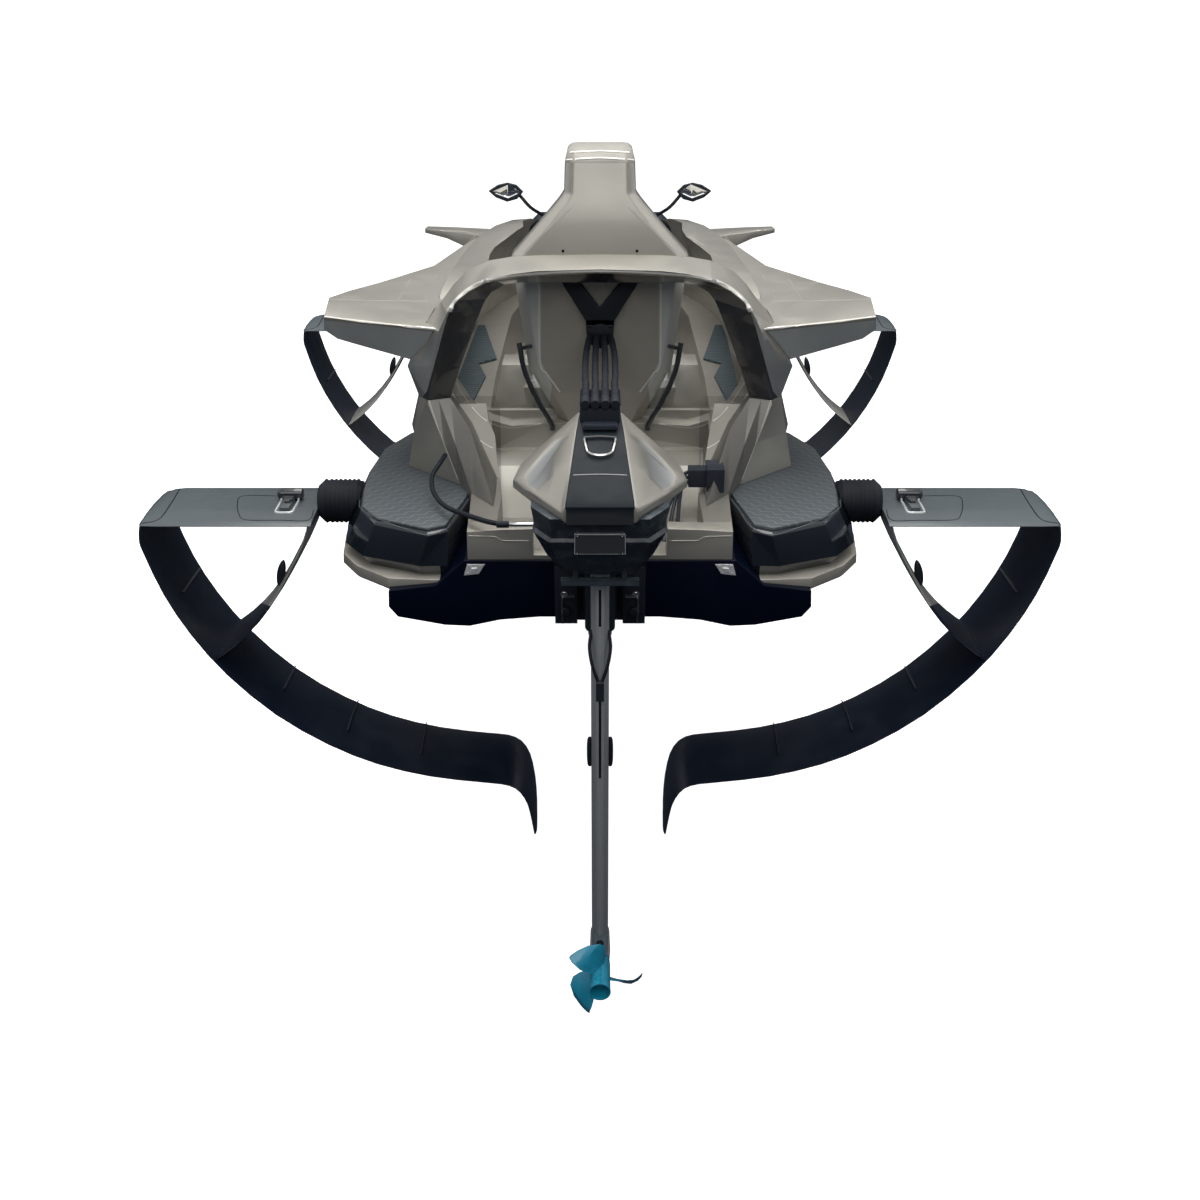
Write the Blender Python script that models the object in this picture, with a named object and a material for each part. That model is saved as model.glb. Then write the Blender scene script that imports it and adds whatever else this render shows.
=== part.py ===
"""Two-seat electric hydrofoil boat: hull, cockpit, four foils and a tilting outboard drive.

Metres, +Z up, +Y to the bow, +X to starboard, z = 0 at the waterline.
Side pieces are described for starboard and mirrored by their sign.
"""
import math

import bmesh
import bpy
from mathutils import Matrix, Vector

# Driving dimensions, metres
GAP = 0.0005
SEAT = 0.004
TRANSOM_Y = -1.420
HULL_TOP = 0.065
WELL_FLOOR = 0.078
WELL_FRONT_Y = -0.850
LIP_Y = -1.365
LEDGE_Z = 0.260
COCKPIT_FLOOR = 0.100
FOIL_TE_Y = -1.193
FOIL_CHORD = 0.275
FOIL_SPACING = 2.100
FOIL_THICK = 0.026
ARM_Z = 0.062
ARM_THICK = 0.026
ARM_IN_X = 0.780
BELLOWS_IN_X = 0.600
BELLOWS_Y = -1.050
BELLOWS_Z = 0.080
BELLOWS_R = 0.062
TILT_Y = -1.445
TILT_Z = 0.175
TILT_R = 0.016
EAR_R = 0.0245
SLEEVE = 0.056
STEER_Y = -1.505
STEER_PIN_R = 0.012
YOKE_Z = 0.160
PROP_Y = -1.620
PROP_Z = -1.062
PROP_R = 0.118
PROP_TURN = 14
CABLE_X = (-0.034, -0.011, 0.012, 0.035)
CABLE_R = 0.0085
HELM_AT = (0.0, 0.560, 0.455)
HELM_AXIS = (0.0, -0.906, 0.423)
SIDES = (("l", -1.0), ("r", 1.0))
ENDS = (("rear", 0.0), ("front", FOIL_SPACING))

MATERIALS = {
    "taupe": (0.50, 0.46, 0.41, 0.35, 0.4),
    "hull_dark": (0.01, 0.014, 0.028, 0.25, 0.0),
    "slate": (0.03, 0.04, 0.05, 0.4, 0.0),
    "black": (0.015, 0.015, 0.018, 0.5, 0.0),
    "mat": (0.08, 0.11, 0.13, 0.8, 0.0),
    "foil": (0.02, 0.03, 0.045, 0.3, 0.0),
    "alloy": (0.45, 0.46, 0.48, 0.35, 0.9),
    "teal": (0.02, 0.30, 0.45, 0.35, 0.0),
    "leather": (0.05, 0.05, 0.055, 0.6, 0.0),
}


def material(key, name):
    """One Principled material for each object."""
    red, green, blue, rough, metal = MATERIALS[key]
    mat = bpy.data.materials.new(name + "_mat")
    mat.use_nodes = True
    shader = mat.node_tree.nodes["Principled BSDF"]
    shader.inputs["Base Color"].default_value = (red, green, blue, 1.0)
    shader.inputs["Roughness"].default_value = rough
    shader.inputs["Metallic"].default_value = metal
    mat.diffuse_color = (red, green, blue, 1.0)
    return mat


def finish(name, bm, key):
    """Turn a bmesh into a named, triangulated object with outward normals."""
    bmesh.ops.triangulate(bm, faces=bm.faces, quad_method="FIXED", ngon_method="BEAUTY")
    bmesh.ops.recalc_face_normals(bm, faces=bm.faces)
    if bm.calc_volume(signed=True) < 0:
        bmesh.ops.reverse_faces(bm, faces=bm.faces)
    mesh = bpy.data.meshes.new(name)
    bm.to_mesh(mesh)
    bm.free()
    obj = bpy.data.objects.new(name, mesh)
    bpy.context.scene.collection.objects.link(obj)
    if key:
        mesh.materials.append(material(key, name))
    return obj


def loft_bm(rings):
    """Skin equal-length rings of points and close both ends."""
    bm = bmesh.new()
    rows = [[bm.verts.new(p) for p in ring] for ring in rings]
    count = len(rows[0])
    for a, b in zip(rows, rows[1:]):
        for i in range(count):
            j = (i + 1) % count
            bm.faces.new((a[i], a[j], b[j], b[i]))
    bm.faces.new(list(reversed(rows[0])))
    bm.faces.new(rows[-1])
    return bm


def loft(name, rings, key):
    return finish(name, loft_bm(rings), key)


def flip(rings, sign):
    """Mirror rings given for starboard to the side of the sign."""
    return [[(sign * x, y, z) for x, y, z in ring] for ring in rings]


def box(name, lo, hi, key):
    ring = [(lo[0], lo[1]), (hi[0], lo[1]), (hi[0], hi[1]), (lo[0], hi[1])]
    return loft(name, [[(x, y, z) for x, y in ring] for z in (lo[2], hi[2])], key)


def side_box(name, sign, lo, hi, key):
    """Box given for starboard, on the side of the sign."""
    xs = sorted((sign * lo[0], sign * hi[0]))
    return box(name, (xs[0], lo[1], lo[2]), (xs[1], hi[1], hi[2]), key)


def prism(name, outline, axis, lo, hi, key):
    """Extrude a 2-D outline along one axis (0, 1 or 2)."""
    rings = []
    for level in (lo, hi):
        ring = []
        for a, b in outline:
            p = [a, b]
            p.insert(axis, level)
            ring.append(tuple(p))
        rings.append(ring)
    return loft(name, rings, key)


def smooth_path(points, steps):
    """Catmull-Rom curve through points, with a number of steps per span."""
    pts = [Vector(p) for p in points]
    ends = [pts[0] * 2 - pts[1]] + pts + [pts[-1] * 2 - pts[-2]]
    out = []
    for a, b, c, d in zip(ends, ends[1:], ends[2:], ends[3:]):
        for k in range(steps):
            t = k / steps
            out.append(0.5 * (2 * b + (c - a) * t + (2 * a - 5 * b + 4 * c - d) * t * t
                              + (3 * b - a - 3 * c + d) * t ** 3))
    out.append(pts[-1])
    return out


def tube(name, path, radius, key, sides=12):
    """Round bar along a path, with frames carried along it."""
    pts = [Vector(p) for p in path]
    rings = []
    normal = None
    for i, p in enumerate(pts):
        a = pts[max(i - 1, 0)]
        b = pts[min(i + 1, len(pts) - 1)]
        tangent = (b - a).normalized()
        if normal is None:
            helper = Vector((0, 0, 1)) if abs(tangent.z) < 0.9 else Vector((1, 0, 0))
            normal = tangent.cross(helper).normalized()
        else:
            normal = (normal - tangent * normal.dot(tangent)).normalized()
        side = tangent.cross(normal)
        ring = []
        for k in range(sides):
            t = 2 * math.pi * k / sides
            ring.append(p + radius * (math.cos(t) * normal + math.sin(t) * side))
        rings.append(ring)
    return loft(name, rings, key)


def revolve(name, profile, centre, axis, key, steps=32):
    """Closed solid of revolution from (distance along axis, radius) pairs."""
    axis = Vector(axis).normalized()
    helper = Vector((0, 0, 1)) if abs(axis.z) < 0.9 else Vector((1, 0, 0))
    u = axis.cross(helper).normalized()
    v = axis.cross(u)
    rings = []
    for along, radius in profile:
        ring = []
        for k in range(steps):
            t = 2 * math.pi * k / steps
            ring.append(Vector(centre) + axis * along + radius * (math.cos(t) * u + math.sin(t) * v))
        rings.append(ring)
    return loft(name, rings, key)


def boolean(target, tool, operation, messy=False):
    """Apply an exact Boolean and delete the tool object."""
    mod = target.modifiers.new("bool", "BOOLEAN")
    mod.operation = operation
    mod.solver = "EXACT"
    mod.use_self = messy
    mod.object = tool
    graph = bpy.context.evaluated_depsgraph_get()
    mesh = bpy.data.meshes.new_from_object(target.evaluated_get(graph))
    target.modifiers.clear()
    old = target.data
    target.data = mesh
    mesh.name = target.name
    bpy.data.meshes.remove(old)
    bpy.data.objects.remove(tool)


def cut(target, tool):
    boolean(target, tool, "DIFFERENCE")


def join(target, tool):
    boolean(target, tool, "UNION")


def clear(target, other, gap=GAP):
    """Cut a slightly grown copy of another piece out of the target."""
    bm = bmesh.new()
    bm.from_mesh(other.data)
    bm.transform(other.matrix_world)
    bm.normal_update()
    moves = [(v, v.normal * gap * min(max(v.calc_shell_factor(), 1.0), 3.0)) for v in bm.verts]
    for v, move in moves:
        v.co += move
    mesh = bpy.data.meshes.new("tool")
    bm.to_mesh(mesh)
    bm.free()
    tool = bpy.data.objects.new("tool", mesh)
    bpy.context.scene.collection.objects.link(tool)
    boolean(target, tool, "DIFFERENCE", messy=True)


def shell_volume(verts):
    """Volume enclosed by the faces on a set of linked vertices."""
    total = 0.0
    for face in {face for vert in verts for face in vert.link_faces}:
        ring = [vert.co for vert in face.verts]
        for b, c in zip(ring[1:], ring[2:]):
            total += ring[0].dot(b.cross(c)) / 6.0
    return abs(total)


def keep_largest(obj):
    """Drop the offcuts that a trim leaves, and keep the biggest closed shell."""
    bm = bmesh.new()
    bm.from_mesh(obj.data)
    todo = set(bm.verts)
    shells = []
    while todo:
        stack = [todo.pop()]
        shell = set(stack)
        while stack:
            for edge in stack.pop().link_edges:
                for vert in edge.verts:
                    if vert in todo:
                        todo.remove(vert)
                        shell.add(vert)
                        stack.append(vert)
        shells.append(shell)
    shells.sort(key=shell_volume)
    drop = [v for shell in shells[:-1] for v in shell]
    bmesh.ops.delete(bm, geom=drop, context="VERTS")
    bm.to_mesh(obj.data)
    bm.free()


def origin_to(obj, point):
    """Move the object's origin to a point without moving its surface."""
    shift = Vector(point)
    obj.data.transform(Matrix.Translation(-shift))
    obj.location = shift


def mirrored(half):
    """Full ring from a half section that starts and ends on the centre plane."""
    left = [(-x, z) for x, z in reversed(half) if x > 1e-6]
    return half + left


def table(rows, y):
    """Smooth reading of rows (y, value, value, ...)."""
    if y <= rows[0][0]:
        return rows[0][1:]
    if y >= rows[-1][0]:
        return rows[-1][1:]
    i = max(k for k, row in enumerate(rows[:-1]) if row[0] <= y)
    before, low, high, after = rows[max(i - 1, 0)], rows[i], rows[i + 1], rows[min(i + 2, len(rows) - 1)]
    span = high[0] - low[0]
    t = (y - low[0]) / span
    out = []
    for k in range(1, len(low)):
        m0 = (high[k] - before[k]) / (high[0] - before[0]) * span
        m1 = (after[k] - low[k]) / (after[0] - low[0]) * span
        out.append(low[k] * (2 * t ** 3 - 3 * t * t + 1) + m0 * (t ** 3 - 2 * t * t + t)
                   + high[k] * (3 * t * t - 2 * t ** 3) + m1 * (t ** 3 - t * t))
    return tuple(out)


# Lower hull: y, half beam, depth of the keel line below the top, lift of the shoulder
HULL_ROWS = (
    (-1.42, 0.545, 0.187, 0.000),
    (-0.60, 0.556, 0.187, 0.000),
    (0.40, 0.535, 0.187, 0.000),
    (0.90, 0.455, 0.172, 0.010),
    (1.25, 0.315, 0.135, 0.030),
    (1.50, 0.160, 0.085, 0.050),
    (1.64, 0.050, 0.045, 0.060),
)
HULL_SHAPE = ((0.000, -0.095), (0.155, -0.095), (0.259, -0.104), (0.338, -0.122), (0.402, -0.119), (0.523, -0.095),
              (0.545, -0.066), (0.542, -0.020), (0.420, -0.005), (0.345, 0.065), (0.000, 0.065))
HULL_STATIONS = (-1.42, -1.2, -0.9, -0.6, -0.25, 0.1, 0.4, 0.65, 0.9, 1.05, 1.2, 1.33, 1.45, 1.55, 1.64)


def hull_half(y):
    """Half section of the lower hull, from keel centre to top centre."""
    beam, depth, lift = table(HULL_ROWS, y)
    across = beam / 0.545
    down = depth / 0.187
    half = []
    for x, z in HULL_SHAPE:
        drop = (HULL_TOP - z) * down
        half.append((x * across, HULL_TOP - drop))
    return half


def make_lower_hull():
    rings = [[(x, y, z) for x, z in mirrored(hull_half(y))] for y in HULL_STATIONS]
    return loft("lower_hull", rings, "hull_dark")


# Deck: y, width at the hull joint, waist width, waist height, rim width, rim height
DECK_ROWS = (
    (-1.415, 0.335, 0.335, 0.100, 0.334, 0.142),
    (-1.250, 0.340, 0.342, 0.100, 0.342, 0.140),
    (-1.120, 0.345, 0.350, 0.110, 0.348, 0.146),
    (-1.066, 0.380, 0.385, 0.120, 0.383, 0.150),
    (-1.000, 0.440, 0.450, 0.170, 0.440, 0.260),
    (-0.940, 0.480, 0.510, 0.220, 0.490, 0.360),
    (-0.860, 0.500, 0.540, 0.240, 0.480, 0.460),
    (-0.650, 0.535, 0.540, 0.250, 0.460, 0.575),
    (-0.250, 0.548, 0.556, 0.250, 0.455, 0.575),
    (0.250, 0.535, 0.545, 0.240, 0.425, 0.572),
    (0.640, 0.485, 0.500, 0.215, 0.335, 0.560),
    (0.900, 0.425, 0.435, 0.190, 0.245, 0.490),
    (1.200, 0.318, 0.320, 0.155, 0.150, 0.365),
    (1.450, 0.190, 0.185, 0.118, 0.070, 0.235),
    (1.610, 0.070, 0.066, 0.085, 0.025, 0.140),
)
DECK_STATIONS = (-1.415, -1.25, -1.12, -1.066, -1.0, -0.94, -0.86, -0.75, -0.65, -0.45, -0.25, 0.0, 0.25, 0.45, 0.64,
                 0.77, 0.9, 1.05, 1.2, 1.33, 1.45, 1.54, 1.61)


def deck_ring(y):
    """Section of the upper hull: flat joint, flared topside, waist, rim and crowned deck."""
    joint, waist, waist_z, rim, rim_z = table(DECK_ROWS, y)
    beam, depth, lift = table(HULL_ROWS, y)
    across = beam / 0.545
    inner = min(0.345 * across, joint)
    slope = (joint - inner) / (0.075 * across) if joint > inner else 0.0
    drop = HULL_TOP - 0.070 * min(slope, 1.0) * depth / 0.187 - SEAT
    mid = min(joint, 0.42 * across)
    half = [(0.0, HULL_TOP - SEAT), (inner * 0.98, HULL_TOP - SEAT), (mid, drop), (joint, min(drop, waist_z)),
            (waist, waist_z), (waist * 0.35 + rim * 0.65, waist_z * 0.35 + rim_z * 0.65), (rim, rim_z),
            (rim * 0.75, rim_z + 0.006), (0.0, rim_z + 0.012)]
    return [(x, y, z) for x, z in mirrored(half)]


def make_deck():
    deck = loft("deck", [deck_ring(y) for y in DECK_STATIONS], "taupe")
    well = loft("well_cut", flip([
        [(-0.262, LIP_Y, WELL_FLOOR), (0.262, LIP_Y, WELL_FLOOR), (0.278, LIP_Y, 1.0), (-0.278, LIP_Y, 1.0)],
        [(-0.262, -1.170, WELL_FLOOR), (0.262, -1.170, WELL_FLOOR), (0.285, -1.170, 1.0), (-0.285, -1.170, 1.0)],
        [(-0.290, -0.985, 0.160), (0.290, -0.985, 0.160), (0.400, -0.985, 1.0), (-0.400, -0.985, 1.0)],
        [(-0.300, WELL_FRONT_Y, 0.166), (0.300, WELL_FRONT_Y, 0.166), (0.420, WELL_FRONT_Y, 1.0),
         (-0.420, WELL_FRONT_Y, 1.0)],
    ], 1.0), None)
    cut(deck, well)
    cut(deck, box("notch_cut", (-0.168, -1.6, WELL_FLOOR), (0.168, -1.2, 1.0), None))
    basin = ((-0.43, 0.60), (-0.42, 0.380), (-0.37, 0.297), (-0.316, 0.250), (-0.255, 0.232), (-0.15, 0.240),
             (0.15, 0.240), (0.255, 0.232), (0.316, 0.250), (0.37, 0.297), (0.42, 0.380), (0.43, 0.60))
    cut(deck, prism("basin_cut", basin, 1, -0.96, -0.79, None))
    upper = []
    for y, low, high in ((-0.805, 0.420, 0.360), (-0.60, 0.455, 0.300), (-0.15, 0.462, 0.322), (0.32, 0.440, 0.240),
                         (0.56, 0.385, 0.252), (0.72, 0.330, 0.200)):
        upper.append([(-low, y, LEDGE_Z), (low, y, LEDGE_Z), (high, y, 0.70), (-high, y, 0.70)])
    cut(deck, loft("upper_cut", upper, None))
    lower = []
    for y, half in ((-0.770, 0.320), (-0.45, 0.330), (0.35, 0.330), (0.80, 0.280), (1.05, 0.200)):
        lower.append([(-half, y, COCKPIT_FLOOR), (half, y, COCKPIT_FLOOR), (half, y, LEDGE_Z + 0.01),
                      (-half, y, LEDGE_Z + 0.01)])
    cut(deck, loft("footwell_cut", lower, None))
    keep_largest(deck)
    return deck


# Pod plans, starboard, one row of points per level
POD_TOP = ((0.500, -0.520), (0.585, -0.600), (0.645, -0.750), (0.660, -0.950), (0.652, -1.100), (0.635, -1.235),
           (0.583, -1.318), (0.436, -1.392), (0.388, -1.365), (0.350, -1.150), (0.350, -0.600))
POD_MID = ((0.520, -0.480), (0.620, -0.570), (0.688, -0.730), (0.704, -0.950), (0.698, -1.100), (0.680, -1.235),
           (0.620, -1.322), (0.464, -1.385), (0.392, -1.384), (0.345, -1.150), (0.345, -0.560))
POD_LOW = ((0.505, -0.500), (0.600, -0.585), (0.664, -0.745), (0.680, -0.950), (0.675, -1.100), (0.658, -1.225),
           (0.605, -1.308), (0.462, -1.372), (0.392, -1.372), (0.345, -1.150), (0.345, -0.570))
FLANGE = ((0.540, -0.440), (0.640, -0.540), (0.700, -0.720), (0.712, -0.950), (0.706, -1.110), (0.690, -1.240),
          (0.640, -1.320), (0.545, -1.398), (0.400, -1.410), (0.340, -1.150), (0.340, -0.520))


def level(plan, z, sign, inset=0.0):
    """Ring of a plan at a height, drawn in towards the plan's middle by an inset share."""
    cx = sum(x for x, y in plan) / len(plan)
    cy = sum(y for x, y in plan) / len(plan)
    return [(sign * (x + (cx - x) * inset), y + (cy - y) * inset, z) for x, y in plan]


def make_pod(side, sign):
    flange = loft("pod_flange_" + side, [level(FLANGE, -0.036, sign, 0.05), level(FLANGE, -0.022, sign),
                                         level(FLANGE, 0.004, sign, 0.01)], "taupe")
    body = loft("pod_body_" + side, [level(POD_LOW, 0.005, sign), level(POD_MID, 0.034, sign),
                                     level(POD_TOP, 0.120, sign), level(POD_TOP, 0.127, sign, 0.02)], "slate")
    pad = loft("step_pad_" + side, [level(POD_TOP, 0.127 + GAP, sign, 0.05), level(POD_TOP, 0.133, sign, 0.055)], "slate")
    return flange, body, pad


# Rear pillar rings: outer, ridge, foot of the ramp, seam, inner front, outer front
PILLAR = (
    ((0.548, -0.916, 0.090), (0.387, -1.066, 0.090), (0.345, -1.160, 0.090), (0.280, -1.250, 0.090),
     (0.280, -0.900, 0.090), (0.548, -0.700, 0.090)),
    ((0.548, -0.916, 0.134), (0.387, -1.066, 0.134), (0.345, -1.160, 0.144), (0.280, -1.250, 0.150),
     (0.280, -0.900, 0.150), (0.548, -0.700, 0.134)),
    ((0.523, -0.942, 0.245), (0.427, -1.040, 0.240), (0.395, -1.050, 0.245), (0.354, -1.045, 0.288),
     (0.354, -0.880, 0.288), (0.523, -0.720, 0.250)),
    ((0.498, -0.970, 0.357), (0.4675, -1.010, 0.357), (0.440, -1.000, 0.357), (0.410, -0.988, 0.357),
     (0.410, -0.860, 0.357), (0.498, -0.760, 0.357)),
)


def make_pillar(side, sign):
    return loft("pillar_" + side, flip(PILLAR, sign), "taupe")


# Arch rings from the seam up to the centre: outer front, outer aft, lip, inner aft, inner front
ARCH_BASE_Z = PILLAR[-1][0][2] + GAP
ARCH = (
    ((0.498, -0.760, ARCH_BASE_Z), (0.498, -0.970, ARCH_BASE_Z), (0.467, -1.010, ARCH_BASE_Z),
     (0.410, -0.985, ARCH_BASE_Z), (0.410, -0.860, ARCH_BASE_Z)),
    ((0.520, -0.760, 0.440), (0.525, -0.965, 0.440), (0.448, -1.015, 0.450), (0.378, -0.985, 0.445), (0.385, -0.850, 0.440)),
    ((0.480, -0.780, 0.540), (0.480, -0.960, 0.540), (0.426, -1.020, 0.550), (0.340, -0.985, 0.541), (0.350, -0.850, 0.540)),
    ((0.430, -0.850, 0.595), (0.426, -0.940, 0.610), (0.402, -1.025, 0.599), (0.316, -0.985, 0.598), (0.325, -0.850, 0.590)),
    ((0.395, -0.855, 0.642), (0.396, -0.900, 0.646), (0.374, -1.025, 0.632), (0.303, -0.978, 0.624), (0.308, -0.850, 0.615)),
    ((0.360, -0.858, 0.672), (0.362, -0.880, 0.677), (0.341, -1.025, 0.655), (0.286, -0.975, 0.643), (0.288, -0.850, 0.636)),
    ((0.300, -0.858, 0.700), (0.300, -0.870, 0.704), (0.288, -1.025, 0.686), (0.252, -0.962, 0.660), (0.252, -0.850, 0.652)),
    ((0.240, -0.858, 0.710), (0.240, -0.870, 0.714), (0.228, -1.025, 0.700), (0.210, -0.958, 0.664), (0.210, -0.850, 0.656)),
    ((0.160, -0.858, 0.714), (0.160, -0.870, 0.718), (0.160, -1.025, 0.708), (0.159, -0.950, 0.663), (0.159, -0.850, 0.656)),
    ((0.000, -0.858, 0.716), (0.000, -0.870, 0.720), (0.000, -1.025, 0.712), (0.000, -0.950, 0.662), (0.000, -0.850, 0.656)),
)


def make_arch():
    right = flip(ARCH, 1.0)
    left = flip(ARCH[:-1], -1.0)
    return loft("rear_arch", right + list(reversed(left)), "taupe")


# Rear wing rings from tip to root: aft top, aft bottom, front bottom, front top
WING = (
    ((0.732, -0.998, 0.582), (0.738, -0.985, 0.545), (0.752, -0.800, 0.556), (0.758, -0.790, 0.586)),
    ((0.700, -1.001, 0.579), (0.705, -0.984, 0.520), (0.715, -0.700, 0.535), (0.720, -0.690, 0.583)),
    ((0.636, -1.005, 0.570), (0.640, -0.980, 0.499), (0.645, -0.560, 0.515), (0.650, -0.550, 0.578)),
    ((0.530, -1.008, 0.561), (0.537, -0.970, 0.466), (0.520, -0.300, 0.490), (0.525, -0.285, 0.573)),
    ((0.426, -1.006, 0.553), (0.440, -0.950, 0.432), (0.470, 0.020, 0.500), (0.472, 0.030, 0.571)),
    ((0.390, -1.004, 0.551), (0.400, -0.940, 0.432), (0.430, 0.200, 0.500), (0.436, 0.210, 0.571)),
)
# Front winglet rings, in the same order
WINGLET = (
    ((0.715, 0.950, 0.474), (0.716, 0.955, 0.456), (0.712, 1.010, 0.458), (0.711, 1.015, 0.472)),
    ((0.620, 0.925, 0.466), (0.625, 0.930, 0.438), (0.610, 1.060, 0.440), (0.608, 1.066, 0.460)),
    ((0.501, 0.900, 0.456), (0.540, 0.905, 0.405), (0.480, 1.110, 0.405), (0.476, 1.120, 0.444)),
    ((0.320, 0.810, 0.447), (0.350, 0.820, 0.360), (0.250, 1.130, 0.360), (0.245, 1.140, 0.410)),
)


def make_wing(side, sign):
    return loft("rear_wing_" + side, flip(WING, sign), "taupe")


def make_winglet(side, sign):
    return loft("front_winglet_" + side, flip(WINGLET, sign), "taupe")


# Seat tower rows: height, half width, aft y, front y
TOWER_ROWS = (
    (0.180, 0.110, -0.835, -0.700),
    (0.250, 0.125, -0.835, -0.700),
    (0.330, 0.170, -0.838, -0.705),
    (0.400, 0.205, -0.842, -0.710),
    (0.540, 0.221, -0.847, -0.725),
    (0.650, 0.236, -0.8495, -0.735),
    (0.707, 0.243, -0.8495, -0.740),
    (0.788, 0.168, -0.842, -0.735),
    (0.850, 0.112, -0.830, -0.715),
    (0.869, 0.0975, -0.822, -0.700),
    (0.948, 0.0945, -0.802, -0.660),
    (0.958, 0.0915, -0.794, -0.650),
    (0.974, 0.0880, -0.770, -0.648),
    (0.984, 0.0760, -0.725, -0.660),
)


def make_tower():
    rings = []
    for z, half, aft, front in TOWER_ROWS:
        soft = min(0.030, half * 0.25)
        rings.append([(-half + soft, aft, z), (half - soft, aft, z), (half, aft + soft, z), (half, front - 0.01, z),
                      (half - soft, front, z), (-half + soft, front, z), (-half, front - 0.01, z), (-half, aft + soft, z)])
    return loft("seat_tower", rings, "taupe")


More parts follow.
